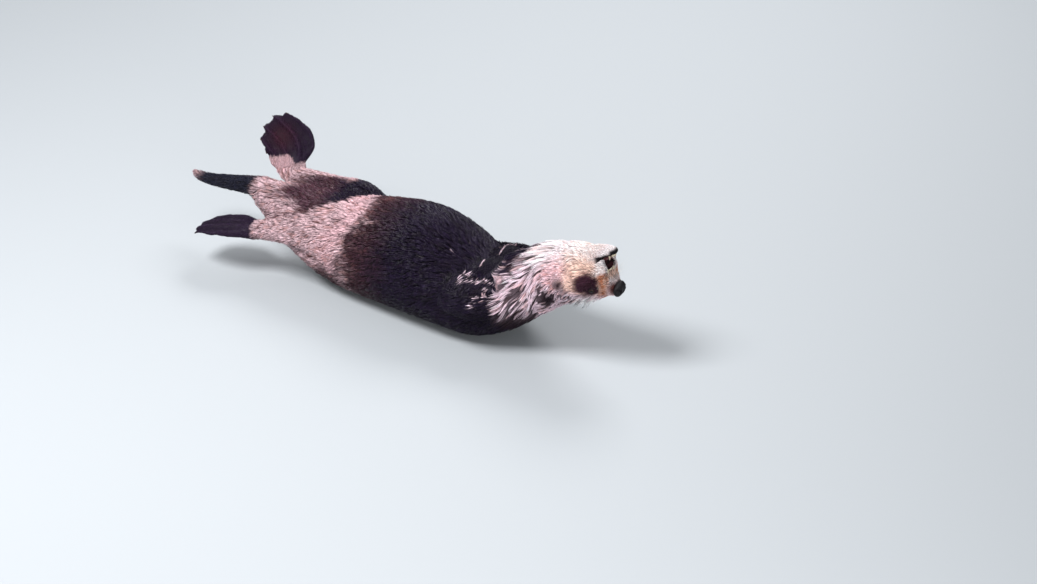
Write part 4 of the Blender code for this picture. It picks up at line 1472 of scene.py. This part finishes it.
def guidesOf(roots, rootNormals):
    # the nearest guide to each root that stands on skin facing much the same way
    tree = KDTree(guideCount)
    for i, root in enumerate(guideRoots):
        tree.insert(root, i)
    tree.balance()
    nearest = np.zeros(len(roots), int)
    for i, root in enumerate(roots):
        found = tree.find_n(root, guidePlan["tried"])
        nearest[i] = found[0][1]
        for _, number, _ in found:
            if guideNormals[number, 0] @ rootNormals[i] > guidePlan["facing"]:
                nearest[i] = number
                break
    return nearest


def drawNearer(paths, nearest, gather, knit):
    # locks bend towards their guide, most at their tips
    steps = paths.shape[1] - 1
    times = np.linspace(0.0, coatPlan["guideSteps"], steps + 1)
    low = np.minimum(times.astype(int), coatPlan["guideSteps"] - 1)
    part = (times - low)[None, :, None]
    guide = guidePaths[nearest][:, low] * (1.0 - part) + guidePaths[nearest][:, low + 1] * part
    share = gather[:, None] * np.linspace(0.0, 1.0, steps + 1)[None, :] ** knit[:, None]
    return paths + (guide - paths) * share[:, :, None]


def lockTriangles(rings):
    # a three-sided lock: closed at its root, drawn to a point at its tip
    faces = [(0, 1, 2)]
    for ring in range(rings - 1):
        for k in range(3):
            here, after = 3 * ring + k, 3 * ring + (k + 1) % 3
            faces.append((here, here + 3, after + 3))
            faces.append((here, after + 3, after))
    last = 3 * (rings - 1)
    for k in range(3):
        faces.append((last + k, last + 3, last + (k + 1) % 3))
    return np.array(faces)


# a lock's own shape; pairs are the least and the most, as shares of what its field says
lockPlan = {
    "length": (0.75, 1.15),
    "heading": 0.14,
    "gather": (0.75, 1.0),
    "lift": (0.75, 1.05),
    "width": (0.75, 1.2),
    "slim": 0.30,            # its thickness as a share of its width
    # places along it, then its height over the skin there and its width
    "rise": ((0.0, 0.4, 0.8, 1.0), (-0.06, 0.55, 0.92, 0.90)),
    "taper": ((0.0, 0.35, 0.7, 1.0), (0.65, 1.0, 0.62, 0.0)),
    "clearFacing": (0.55, -0.25),
    # places along it, then how bright it is there when dry and when gathered wet: painted shade at the
    # root, a painted highlight towards the tip
    "dryShade": ((0.0, 0.5, 1.0), (0.60, 1.0, 1.12)),
    "wetShade": ((0.0, 0.3, 0.6, 1.0), (0.20, 0.70, 1.12, 1.42)),
    "wet": (0.74, 0.90),
    "shadeStrength": 0.88,
    "freed": (0.3, 0.9),
    "freedHang": 6.0 * mm,
    "tone": 0.12,
    "darkest": 0.004,
    "palest": 0.95,
}


def lockBodies(cells, weights, rings):
    # every lock's corners, and the guide that it gathers to
    count = len(cells)
    roots = blendCorners(skinPlaces, cells, weights)
    rootNormals = triangleNormals[cells]
    at = {key: value[cells] for key, value in triangleFields.items()}
    lengths = at["length"] * mm * chance.uniform(*lockPlan["length"], count)
    heading = chance.normal(0.0, lockPlan["heading"], count)
    paths, normals = follow(roots, cells, heading, lengths, rings)
    nearest = guidesOf(roots, rootNormals)
    gather = at["gather"] * chance.uniform(*lockPlan["gather"], count)
    paths = drawNearer(paths, nearest, gather, at["knit"])
    reach = np.linspace(0.0, 1.0, rings + 1)
    lift = at["depth"] * mm * guideLift[nearest] * chance.uniform(*lockPlan["lift"], count)
    rise = np.interp(reach, *lockPlan["rise"])
    paths = paths + normals * (lift[:, None] * rise)[:, :, None]
    # a wet point leaves the skin where its weight can pull it clear
    clear = smoothStep(*lockPlan["clearFacing"], rootNormals[:, 2]) * guideHang[nearest]
    paths = paths + (clear[:, None] * reach ** 2)[:, :, None] * unit(downward + coatPlan["hangLean"])
    paths[:, :, 2] = np.maximum(paths[:, :, 2], coatPlan["floor"])
    ways = unit(np.gradient(paths, axis=1))
    sides = unit(np.cross(ways, normals))
    tops = np.cross(sides, ways)
    wide = (at["width"] * mm * chance.uniform(*lockPlan["width"], count))[:, None]
    wide = wide * np.interp(reach, *lockPlan["taper"])
    half = (sides * (0.5 * wide)[:, :, None])[:, :rings]
    top = (tops * (lockPlan["slim"] * wide)[:, :, None])[:, :rings]
    centres = paths[:, :rings]
    sections = np.stack([centres - half, centres + top, centres + half], axis=2)
    corners = np.concatenate([sections.reshape(count, rings * 3, 3), paths[:, rings:]], axis=1)
    corners[:, :, 2] = np.maximum(corners[:, :, 2], coatPlan["edgeFloor"])
    return corners, nearest


def lockTints(cells, weights, rings, nearest):
    # the markings at the root, with painted shade there and a painted highlight towards the tip
    count = len(cells)
    roots = blendCorners(skinPlaces, cells, weights)
    shares = {}
    for key, value in skinShares.items():
        shares[key] = blendCorners(value[:, None], cells, weights)[:, 0]
    base = markings(roots, shares)
    # points in the shade between the wet points are painted dark
    base = paint(base, "maroon", lockPlan["shadeStrength"] * guideInShade[nearest])
    # a share of the points is browner and darker: brown streaks, partly painted shade between the paler
    # locks
    base = base * np.where(guideBrownShade[nearest][:, None], coatPlan["brownShade"], 1.0)
    freed = smoothStep(*lockPlan["freed"], triangleFields["white"][cells])
    freed = freed * (guideHang[nearest] > lockPlan["freedHang"])
    base = paint(base, "white", freed)
    tone = guideTone[nearest] * chance.normal(1.0, lockPlan["tone"], count)
    reach = np.linspace(0.0, 1.0, rings + 1)
    wet = smoothStep(*lockPlan["wet"], triangleFields["gather"][cells])[:, None]
    dryShade = np.interp(reach, *lockPlan["dryShade"])
    wetShade = np.interp(reach, *lockPlan["wetShade"])
    shade = dryShade[None] * (1.0 - wet) + wetShade[None] * wet
    shade = np.concatenate([np.repeat(shade[:, :rings], 3, axis=1), shade[:, rings:]], axis=1)
    tint = base[:, None, :] * tone[:, None, None] * shade[:, :, None]
    return np.clip(tint, lockPlan["darkest"], lockPlan["palest"])


def lockSpots(cells, weights, rings):
    # each lock's small patch at its root's place on the skin's unwrap
    roots = blendCorners(loopPlaces, cells, weights, triangleLoops)
    small = coatPlan["patch"]
    across = np.append(np.tile([-small, 0.0, small], rings), 0.0)
    up = np.append(np.repeat(np.linspace(-small, small, rings + 1)[:rings], 3), small)
    spots = roots[:, None, :] + np.stack([across, up], axis=1)[None]
    return np.clip(spots, 0.0, 1.0)


def growLocks(name, cells, weights, rings, finish):
    count = len(cells)
    corners, nearest = lockBodies(cells, weights, rings)
    tint = lockTints(cells, weights, rings, nearest)
    spots = lockSpots(cells, weights, rings)
    pattern = lockTriangles(rings)
    perPiece = coatPlan["most"] // len(pattern)
    for number, start in enumerate(range(0, count, perPiece)):
        part = slice(start, min(start + perPiece, count))
        label = name if count <= perPiece else f"{name}{number + 1}"
        locksPiece(label, corners[part], pattern, tint[part], spots[part], finish)
    print(name, count, "locks,", count * len(pattern), "triangles")


def locksPiece(name, corners, pattern, tint, spots, finish):
    count, each = corners.shape[:2]
    faces = (pattern[None] + (np.arange(count) * each)[:, None, None]).reshape(-1, 3)
    mesh = bpy.data.meshes.new(name)
    mesh.vertices.add(count * each)
    mesh.loops.add(len(faces) * 3)
    mesh.polygons.add(len(faces))
    mesh.vertices.foreach_set("co", corners.reshape(-1))
    mesh.loops.foreach_set("vertex_index", faces.reshape(-1).astype(np.int32))
    mesh.polygons.foreach_set("loop_start", (np.arange(len(faces)) * 3).astype(np.int32))
    shadeSmooth(mesh)
    mesh.update(calc_edges=True)
    putColours(mesh, "coatColour", tint.reshape(-1, 3))
    layer = mesh.uv_layers.new(name="OFBake")
    layer.data.foreach_set("uv", spots.reshape(-1, 2)[faces.reshape(-1)].astype(np.float32).ravel())
    return addPiece(name, mesh, finish)


coatGroups = {
    "coatHead": (("head",), "rings", "pale_coat"),
    "coatFace": (("lower_jaw", "ear_left", "ear_right"), "shortRings", "pale_coat"),
    "coatNeck": (("neck",), "longRings", "pale_coat"),
    "coatChest": (("chest",), "rings", "dark_coat"),
    "coatBelly": (("belly",), "rings", "dark_coat"),
    "coatHips": (("hips",), "rings", "tan_coat"),
    "coatTail": (("tail",), "rings", "dark_coat"),
    "coatForelegs": (("foreleg_left", "foreleg_right"), "rings", "dark_coat"),
    "coatHindLegs": (("hind_leg_left", "hind_leg_right"), "rings", "tan_coat"),
    "coatForepaws": (("forepaw_left", "forepaw_right"), "shortRings", "dark_coat"),
    "coatFlippers": (("hind_flipper_left", "hind_flipper_right"), "shortRings", "dark_coat"),
}
wetCoat = coatFinish("wetCoat")
rootCells, rootWeights = scatter(triangleFields["density"])
rootOwner = nodeOf[triangles[rootCells, 0]]
print("locks:", len(rootCells))
for name, (nodes, ringKey, slotName) in coatGroups.items():
    here = np.isin(rootOwner, [fleshNodes.index(node) for node in nodes])
    growLocks(name, rootCells[here], rootWeights[here], coatPlan[ringKey], wetCoat)


# small pieces that stay apart from the skin: eyes, nose, tongue, teeth, claws and whiskers
# stops are places and colours along a finish; tone and grain are how many spots lie along a
# metre, of its colour and of its relief; wet is the strength of the clear coat over it
eyeStops = (
    (0.00, (0.002, 0.002, 0.002)),
    (0.24, (0.002, 0.002, 0.002)),
    (0.29, (0.030, 0.013, 0.007)),
    (0.58, (0.016, 0.007, 0.004)),
    (0.70, (0.004, 0.002, 0.002)),
    (0.95, (0.020, 0.012, 0.010)),
)
wetFinishes = {
    "wetEye": {
        "stops": eyeStops, "grain": 2600.0, "depth": 0.04 * mm,
        "roughness": 0.08, "wet": 0.22, "shine": 0.12,
    },
    "noseLeather": {
        "stops": ((0.30, (0.0035, 0.0030, 0.0040)), (0.75, (0.012, 0.009, 0.011))),
        "tone": 220.0, "grain": 1150.0, "depth": 0.5 * mm,
        "roughness": 0.36, "wet": 0.0, "shine": 0.16, "pebbled": True,
    },
    "tongueFlesh": {
        "stops": ((0.30, (0.085, 0.026, 0.032)), (0.72, (0.16, 0.060, 0.066))),
        "tone": 160.0, "grain": 1500.0, "depth": 0.4 * mm,
        "roughness": 0.30, "wet": 0.4, "shine": 0.25, "pebbled": True,
    },
    "enamel": {
        "stops": ((0.30, (0.50, 0.41, 0.28)), (0.72, (0.68, 0.60, 0.46))),
        "tone": 260.0, "grain": 900.0, "depth": 0.12 * mm,
        "roughness": 0.22, "wet": 0.5, "shine": 0.25,
    },
    "clawHorn": {
        "stops": ((0.30, (0.018, 0.012, 0.010)), (0.75, (0.075, 0.050, 0.040))),
        "tone": 420.0, "grain": 1400.0, "depth": 0.15 * mm,
        "roughness": 0.26, "wet": 0.3, "shine": 0.25,
    },
    "bristle": {
        "stops": ((0.30, (0.62, 0.56, 0.50)), (0.75, (0.84, 0.80, 0.74))),
        "tone": 90.0, "grain": 1200.0, "depth": 0.1 * mm,
        "roughness": 0.35, "wet": 0.2, "shine": 0.25,
    },
    "textureDetail": 3.0,
    "wetRoughness": 0.06,
    "reliefStrength": 0.7,
    "roughnessRange": (0.75, 1.35),
}


def rampOf(tree, stops):
    # a colour ramp; each stop is a place and a colour
    made = tree.nodes.new("ShaderNodeValToRGB")
    elements = made.color_ramp.elements
    while len(elements) < len(stops):
        elements.new(0.5)
    for element, (place, colour) in zip(elements, stops):
        element.position = place
        element.color = (*colour, 1.0)
    return made


def wetFinish(name, attribute=None):
    # colour from a ramp over a texture or over the piece's own attribute, with a fine relief
    plan = wetFinishes[name]
    made, tree, shader = newFinish(name)
    setInputs(shader, {
        "Coat Weight": plan["wet"],
        "Coat Roughness": wetFinishes["wetRoughness"],
        "Specular IOR Level": plan["shine"],
    })
    detail = wetFinishes["textureDetail"]
    if attribute:
        source = tree.nodes.new("ShaderNodeAttribute")
        source.attribute_name = attribute
    else:
        source = textureOf(tree, "ShaderNodeTexNoise", plan["tone"], detail)
    ramp = rampOf(tree, plan["stops"])
    tree.links.new(source.outputs["Fac"], ramp.inputs["Fac"])
    tree.links.new(ramp.outputs["Color"], shader.inputs["Base Color"])
    if plan.get("pebbled"):
        height = textureOf(tree, "ShaderNodeTexVoronoi", plan["grain"], detail).outputs["Distance"]
    else:
        height = textureOf(tree, "ShaderNodeTexNoise", plan["grain"], detail).outputs["Fac"]
    addRelief(tree, shader, height, wetFinishes["reliefStrength"], plan["depth"])
    least, most = (plan["roughness"] * share for share in wetFinishes["roughnessRange"])
    tree.links.new(rangeOf(tree, height, least, most), shader.inputs["Roughness"])
    return made


def meshOf(name, shape):
    mesh = bpy.data.meshes.new(name)
    shape.to_mesh(mesh)
    shape.free()
    return mesh


def finishedMesh(name, shape):
    bmesh.ops.recalc_face_normals(shape, faces=shape.faces)
    mesh = meshOf(name, shape)
    shadeSmooth(mesh)
    return mesh


def ballMesh(name, plan, radius):
    # a ball to be worked into an eye, a nose pad or a tongue, with its corners
    shape = bmesh.new()
    bmesh.ops.create_uvsphere(
        shape, u_segments=plan["sides"], v_segments=plan["rings"], radius=radius,
    )
    mesh = meshOf(name, shape)
    shadeSmooth(mesh)
    return mesh, cornersOf(mesh)


eyePlan = {
    "radius": 0.80,          # cm
    "cornea": 0.055,         # how far the cornea stands out, as a share
    "corneaReach": 0.60,     # radians from the middle of the pupil
    "gazeReach": 1.6,        # radians from there to the end of the eye's colours
    "sides": 56,
    "rings": 40,
}


def addEye(flip, name, node):
    centre, outward, _, upward = eyeFrame(flip)
    mesh, ball = ballMesh(name, eyePlan, eyePlan["radius"])
    angle = np.arccos(np.clip(ball[:, 2] / eyePlan["radius"], -1.0, 1.0))
    ball *= (1.0 + eyePlan["cornea"] * hump(angle, 0.0, eyePlan["corneaReach"]))[:, None]
    across = np.cross(upward, outward)
    ball = ball @ np.stack([across, upward, outward]) + centre
    putCorners(mesh, fromHead(ball))
    gaze = mesh.attributes.new("gaze", "FLOAT", "POINT")
    gaze.data.foreach_set("value", (angle / eyePlan["gazeReach"]).astype(np.float32))
    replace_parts(addPiece(name, mesh, eyeFinish), node)


eyeFinish = wetFinish("wetEye", attribute="gaze")
addEye(1.0, "eyeballLeft", "eye_left")
addEye(-1.0, "eyeballRight", "eye_right")

# places and sizes on the nose pad are shares of its half sizes
nosePlan = {
    "half": np.array([0.98, 2.02, 2.12]),
    "tilt": -0.12,
    "sides": 72,
    "rings": 56,
    "narrowBelow": 0.34,
    "narrowAbove": 0.14,
    "below": (0.0, -1.0),
    "above": (0.2, 1.0),
    "front": (-0.1, 0.25),           # where the pad's worked face begins
    "nostril": (0.47, -0.02),        # across and up
    "nostrilHalf": (0.17, 0.27),
    "nostrilSlant": 0.5,
    "nostrilEdge": (0.35, 1.10),
    "nostrilDepth": 0.42,
    "rim": (1.45, 0.40),             # the swelling round a nostril: where, and its half width
    "rimHeight": 0.06,
    "wing": (0.78, -0.20),           # the slit that runs back from the nostril
    "wingHalf": (0.24, 0.085),
    "wingDepth": 0.24,
    "groove": 0.055,
    "grooveTop": (0.25, -0.10),
    "grooveDepth": 0.07,
    "lobes": (0.30, 0.22),
    "lobesTop": (0.5, -0.6),
    "lobesHeight": 0.04,
}


def addNose():
    plan = nosePlan
    mesh, ball = ballMesh("nosePad", plan, 1.0)
    x, y, z = ball.T.copy()
    wide = np.abs(y)
    narrow = 1.0 - plan["narrowBelow"] * smoothStep(*plan["below"], z)
    ball[:, 1] *= narrow - plan["narrowAbove"] * smoothStep(*plan["above"], z)
    nostrilY, nostrilZ = plan["nostril"]
    halfY, halfZ = plan["nostrilHalf"]
    across = (wide - nostrilY) / halfY
    up = (z - nostrilZ + plan["nostrilSlant"] * (wide - nostrilY)) / halfZ
    gap = np.sqrt(across ** 2 + up ** 2)
    wingY, wingZ = plan["wing"]
    wingHalfY, wingHalfZ = plan["wingHalf"]
    slit = np.exp(-((wide - wingY) / wingHalfY) ** 2 - ((z - wingZ) / wingHalfZ) ** 2)
    groove = hump(y, 0.0, plan["groove"]) * smoothStep(*plan["grooveTop"], z)
    lobes = hump(wide, *plan["lobes"]) * smoothStep(*plan["lobesTop"], z)
    deep = plan["nostrilDepth"] * (1.0 - smoothStep(*plan["nostrilEdge"], gap))
    deep += plan["wingDepth"] * slit + plan["grooveDepth"] * groove
    deep -= plan["rimHeight"] * hump(gap, *plan["rim"]) + plan["lobesHeight"] * lobes
    ball *= (1.0 - smoothStep(*plan["front"], x) * deep)[:, None]
    tilt = np.array(Matrix.Rotation(plan["tilt"], 3, "Y"))
    putCorners(mesh, fromHead((ball * plan["half"]) @ tilt.T + headPlan["nose"]))
    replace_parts(addPiece("nosePad", mesh, wetFinish("noseLeather")), "nose")


addNose()

tonguePlan = {
    "middle": np.array([4.1, 0.0, -3.25]),      # in the lower jaw's frame
    "half": np.array([3.0, 1.358, 0.528]),
    "tilt": 0.08,
    "sides": 48,
    "rings": 32,
    "upper": (0.0, 0.5),
    "furrow": 0.22,
    "furrowHalf": 0.22,
    "furrowEnd": (0.95, 0.3),
    "curl": 0.16,            # how far its edges turn up past the flat part
    "flat": 0.3,
    "narrow": 0.22,
    "tip": (0.2, 1.0),
}


def addTongue():
    plan = tonguePlan
    mesh, ball = ballMesh("tongueBody", plan, 1.0)
    x, y, z = ball.T.copy()
    upper = smoothStep(*plan["upper"], z)
    furrow = hump(y, 0.0, plan["furrowHalf"]) * smoothStep(*plan["furrowEnd"], x)
    ball[:, 2] -= plan["furrow"] * upper * furrow
    ball[:, 2] += plan["curl"] * (y ** 2 - plan["flat"]) * upper
    ball[:, 1] *= 1.0 - plan["narrow"] * smoothStep(*plan["tip"], x)
    tilt = np.array(Matrix.Rotation(plan["tilt"], 3, "Y"))
    putCorners(mesh, fromHead(fromJaw((ball * plan["half"]) @ tilt.T + plan["middle"])))
    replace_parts(addPiece("tongueBody", mesh, wetFinish("tongueFlesh")), "tongue")


addTongue()

# a spike's sides, its rings, and how full it stays towards its tip
spikes = {
    "tooth": (8, 4, 5.0),
    "canine": (12, 8, 1.8),
    "claw": (10, 6, 1.7),
    "whisker": (5, 9, 1.1),
    "brow": (5, 7, 1.1),
    "tip": 0.02,             # the cone's top as a share of its foot
}


def addSpike(shape, kind, root, way, bend, length, radius):
    # a tapered, curved spike joined to the shape: a tooth, a claw or a whisker
    sides, rings, fullness = spikes[kind]
    way = Vector(way).normalized()
    turn = Vector((0.0, 0.0, 1.0)).rotation_difference(way).to_matrix()
    spike = bmesh.new()
    bmesh.ops.create_cone(
        spike, cap_ends=True, segments=sides, depth=length,
        radius1=radius, radius2=spikes["tip"] * radius,
    )
    uprights = [e for e in spike.edges if abs(e.verts[0].co.z - e.verts[1].co.z) > 0.5 * length]
    bmesh.ops.subdivide_edges(spike, edges=uprights, cuts=rings)
    for corner in spike.verts:
        share = max(corner.co.z / length + 0.5, 0.0)
        swell = (1.0 - share ** fullness) / (1.0 - share) if share < 0.99 else 1.0
        flat = Vector((corner.co.x * swell, corner.co.y * swell, 0.0))
        corner.co = Vector(root) + turn @ flat + way * length * share + Vector(bend) * share ** 2
    mesh = meshOf("spike", spike)
    shape.from_mesh(mesh)
    bpy.data.meshes.remove(mesh)


teethPlan = {
    # the front row's x and z, then a canine's x, y and z; the lower set is in the jaw's frame
    "upper": (5.3, -3.50, 5.5, 1.20, -3.55),
    "lower": (7.45, -3.80, 6.9, 1.10, -3.75),
    "count": 6,              # in a front row
    "gap": 0.30,
    "arch": 0.12,
    "tooth": (0.50, 0.14),           # length and radius
    "toothWay": (0.15, 0.0, 1.0),    # z is turned over for the upper set
    "toothSunk": 0.25,
    "canine": (1.05, 0.23),
    "canineWay": (0.18, 0.10, 1.0),
    "canineBend": (-0.28, 0.0, 0.0),
    "canineSunk": 0.35,
}


def addTeeth(name, jaw):
    plan = teethPlan
    rowX, rowZ, canineX, canineY, canineZ = plan[jaw]
    up = 1.0 if jaw == "lower" else -1.0
    shape = bmesh.new()
    for tooth in range(plan["count"]):
        across = (tooth - 0.5 * (plan["count"] - 1)) * plan["gap"]
        root = (rowX - plan["arch"] * across ** 2, across, rowZ - plan["toothSunk"] * up)
        way = np.array([1.0, 1.0, up]) * plan["toothWay"]
        addSpike(shape, "tooth", root, way, (0.0, 0.0, 0.0), *plan["tooth"])
    for flip in bothSides:
        root = (canineX, canineY * flip, canineZ - plan["canineSunk"] * up)
        way = np.array([1.0, flip, up]) * plan["canineWay"]
        addSpike(shape, "canine", root, way, plan["canineBend"], *plan["canine"])
    mesh = finishedMesh(name, shape)
    own = cornersOf(mesh)
    putCorners(mesh, fromHead(fromJaw(own) if jaw == "lower" else own))
    addPiece(name, mesh, enamel)


enamel = wetFinish("enamel")
addTeeth("upperTeeth", "upper")
addTeeth("lowerTeeth", "lower")

clawPlan = {
    "hind": (6.5 * mm, 1.7 * mm),       # length and radius
    "hindBend": 1.6 * mm,
    "fore": (8.5 * mm, 1.5 * mm),
    "foreBend": 2.4 * mm,
    "search": (1.04, 0.70, 35),         # from past a toe's tip back along it, in so many places
    "onSkin": 1.2 * mm,                 # how near the skin a claw's root has to be
    "otherwise": 6,                     # the place taken if none is so near
    "back": 5,                          # how many places back a claw takes its way from
    "hindSunk": 2.0 * mm,
    "foreReach": 34.5 * mm,             # the middle toe's tip, and how far the outer ones lie back
    "foreArch": 32.0 * mm,
    "foreWide": 42.0 * mm,
    "foreRaised": 1.5 * mm,
    "foreSplay": 0.25,
}


def addHindClaws(name, node):
    plan = fanPlans[node]
    facing = fanAxes(plan)[2]
    shape = bmesh.new()
    for share in toePlan["shares"]:
        line = fanPoints(plan, share, np.linspace(*clawPlan["search"]))
        gaps = [skinTree.find_nearest(place.tolist())[3] for place in line]
        touching = (i for i, gap in enumerate(gaps) if gap < clawPlan["onSkin"])
        end = next(touching, clawPlan["otherwise"])
        way = unit(line[end] - line[end + clawPlan["back"]])
        root = line[end] - way * clawPlan["hindSunk"]
        addSpike(shape, "claw", root, way, facing * -clawPlan["hindBend"], *clawPlan["hind"])
    addPiece(name, finishedMesh(name, shape), horn)


def addForeClaws(name, flip):
    centre, along, across, facing = pawAxes(flip)
    shape = bmesh.new()
    for share in np.linspace(-0.5, 0.5, 5):
        ahead = clawPlan["foreReach"] - clawPlan["foreArch"] * share ** 2
        root = centre + along * ahead + across * clawPlan["foreWide"] * share
        root = root + facing * clawPlan["foreRaised"]
        way = along + across * clawPlan["foreSplay"] * share
        addSpike(shape, "claw", root, way, facing * -clawPlan["foreBend"], *clawPlan["fore"])
    addPiece(name, finishedMesh(name, shape), horn)


horn = wetFinish("clawHorn")
addHindClaws("clawsHindRight", "hind_flipper_right")
addHindClaws("clawsHindLeft", "hind_flipper_left")
addForeClaws("clawsForeRight", 1.0)
addForeClaws("clawsForeLeft", -1.0)

whiskerPlan = {
    "rows": 5,
    "inRow": 5,
    # x and z of the pad's front upper corner and its rear lower one, in the head's frame
    "front": np.array([6.6, -1.0]),
    "back": np.array([5.2, -3.1]),
    "scatter": 0.07,
    "aside": 7.0,                         # how far out the search for the skin starts
    "rooted": 2.0 * mm,
    "frontWay": np.array([0.42, 0.80, -0.55]),
    "backWay": np.array([-0.30, 0.0, 0.0]),     # what is added to that for the hindmost
    "downWay": np.array([0.0, 0.0, -0.30]),     # and for the lowest
    "outward": 0.35,
    "length": (1.5, 3.4),                 # cm, shortest at the front
    "lengthSpread": (0.85, 1.1),
    "radius": 0.19 * mm,
    "droop": 0.28,
    "sweep": np.array([-0.10, 0.0, 0.0]),
    "brows": 5,
    "brow": (2.9, 2.9),
    "browGap": 0.45,
    "browStep": 0.10,
    "browWay": np.array([-0.5, 0.5, 0.6]),
    "browLength": 2.2,
    "browSpread": (0.8, 1.1),
    "browRadius": 0.20 * mm,
    "browDroop": 0.3,
}


def onSkin(x, z, flip):
    # the skin's surface straight in from the side at a place in the head's frame
    start = Vector(fromHead(np.array([x, whiskerPlan["aside"] * flip, z])))
    inward = Vector(headTurn @ np.array([0.0, -flip, 0.0]))
    hit, normal, _, _ = skinTree.ray_cast(start, inward)
    return hit, normal


def addRowWhisker(shape, flip, down, back):
    # down and back run from 0 to 1 over the pad
    plan = whiskerPlan
    x, z = plan["front"] + (plan["back"] - plan["front"]) * [back, down]
    x += chance.normal(0.0, plan["scatter"])
    z += chance.normal(0.0, plan["scatter"])
    hit, normal = onSkin(x, z, flip)
    if hit is None:
        return
    own = (plan["frontWay"] + plan["backWay"] * back + plan["downWay"] * down) * [1.0, flip, 1.0]
    own += chance.normal(0.0, plan["scatter"], 3)
    way = unit(headTurn @ own + plan["outward"] * np.array(normal))
    shortest, longest = plan["length"]
    length = (shortest + (longest - shortest) * back) * cm
    length *= chance.uniform(*plan["lengthSpread"])
    bend = length * (plan["droop"] * downward + headTurn @ plan["sweep"])
    root = np.array(hit) - plan["rooted"] * way
    addSpike(shape, "whisker", root, way, bend, length, plan["radius"])


def addBrowHair(shape, flip, hair):
    plan = whiskerPlan
    x = plan["brow"][0] + plan["browGap"] * (hair - plan["brows"] // 2)
    hit, normal = onSkin(x, plan["brow"][1] + plan["browStep"] * (hair % 2), flip)
    if hit is None:
        return
    way = unit(np.array(normal) + headTurn @ (plan["browWay"] * [1.0, flip, 1.0]))
    length = plan["browLength"] * cm * chance.uniform(*plan["browSpread"])
    bend = plan["browDroop"] * length * downward
    root = np.array(hit) - plan["rooted"] * way
    addSpike(shape, "brow", root, way, bend, length, plan["browRadius"])


def addWhiskers(name, flip):
    shape = bmesh.new()
    for down in np.linspace(0.0, 1.0, whiskerPlan["rows"]):
        for back in np.linspace(0.0, 1.0, whiskerPlan["inRow"]):
            addRowWhisker(shape, flip, down, back)
    for hair in range(whiskerPlan["brows"]):
        addBrowHair(shape, flip, hair)
    addPiece(name, finishedMesh(name, shape), bristle)


bristle = wetFinish("bristle")
addWhiskers("whiskersLeft", 1.0)
addWhiskers("whiskersRight", -1.0)
print("eyes, nose, tongue, teeth, claws and whiskers in place")


# stage, light and camera
stagePlan = {
    "middle": (0.0772, 0.0001, 0.150),      # what the camera stands back from
    "aim": (0.274, 0.0791, 0.0607),         # what it looks at
    "azimuth": math.radians(34.8),
    "elevation": math.radians(28.0),
    "distance": 9.93,
    "lens": 150.0,
    "sensor": 36.0,
    "farthest": 60.0,
    "floorHalf": 20.0,
    "floorColour": (0.35, 0.37, 0.39, 1.0),
    "floorRoughness": 0.7,
    "lit": (0.0, 0.0, 0.15),                # what the lamps point at
    # each lamp's size in metres, its power and its place
    "lamps": {
        "key": (1.6, 220.0, (-0.9, -1.9, 3.2)),
        "fill": (1.4, 50.0, (2.4, -2.4, 1.1)),
        "back": (2.0, 90.0, (-0.6, 2.6, 2.6)),
    },
    "skyColour": (0.86, 0.90, 0.95, 1.0),
    "skyStrength": 0.42,
}


def addFloor():
    shape = bmesh.new()
    bmesh.ops.create_grid(shape, x_segments=1, y_segments=1, size=stagePlan["floorHalf"])
    floor = bpy.data.objects.new("floor", meshOf("floor", shape))
    bpy.context.scene.collection.objects.link(floor)
    paper, _, shader = newFinish("floorPaint")
    setInputs(shader, {
        "Base Color": stagePlan["floorColour"],
        "Roughness": stagePlan["floorRoughness"],
    })
    floor.data.materials.append(paper)


def addLamp(name, size, power, place):
    lamp = bpy.data.lights.new(name, "AREA")
    lamp.shape = "DISK"
    lamp.size = size
    lamp.energy = power
    obj = bpy.data.objects.new(name, lamp)
    bpy.context.scene.collection.objects.link(obj)
    obj.location = place
    back = Vector(place) - Vector(stagePlan["lit"])
    obj.rotation_euler = back.to_track_quat("Z", "Y").to_euler()


def addSky():
    sky = bpy.data.worlds.new("sky")
    sky.use_nodes = True
    setInputs(sky.node_tree.nodes["Background"], {
        "Color": stagePlan["skyColour"],
        "Strength": stagePlan["skyStrength"],
    })
    bpy.context.scene.world = sky


def addCamera():
    azimuth, elevation = stagePlan["azimuth"], stagePlan["elevation"]
    back = Vector((
        math.sin(azimuth) * math.cos(elevation),
        -math.cos(azimuth) * math.cos(elevation),
        math.sin(elevation),
    ))
    camera = bpy.data.cameras.new("camera")
    camera.lens = stagePlan["lens"]
    camera.sensor_width = stagePlan["sensor"]
    camera.clip_end = stagePlan["farthest"]
    obj = bpy.data.objects.new("camera", camera)
    bpy.context.scene.collection.objects.link(obj)
    # it keeps the level of its place over the middle while it turns to the aim
    obj.location = Vector(stagePlan["middle"]) + back * stagePlan["distance"]
    axis = (obj.location - Vector(stagePlan["aim"])).normalized()
    level = Vector((math.cos(azimuth), math.sin(azimuth), 0.0))
    right = (level - axis * level.dot(axis)).normalized()
    obj.rotation_euler = Matrix((right, axis.cross(right), axis)).transposed().to_euler()
    bpy.context.scene.camera = obj


addFloor()
for name, (size, power, place) in stagePlan["lamps"].items():
    addLamp(name, size, power, place)
addSky()
addCamera()
bpy.context.scene.view_settings.view_transform = "Standard"
print("stage, light and camera set")
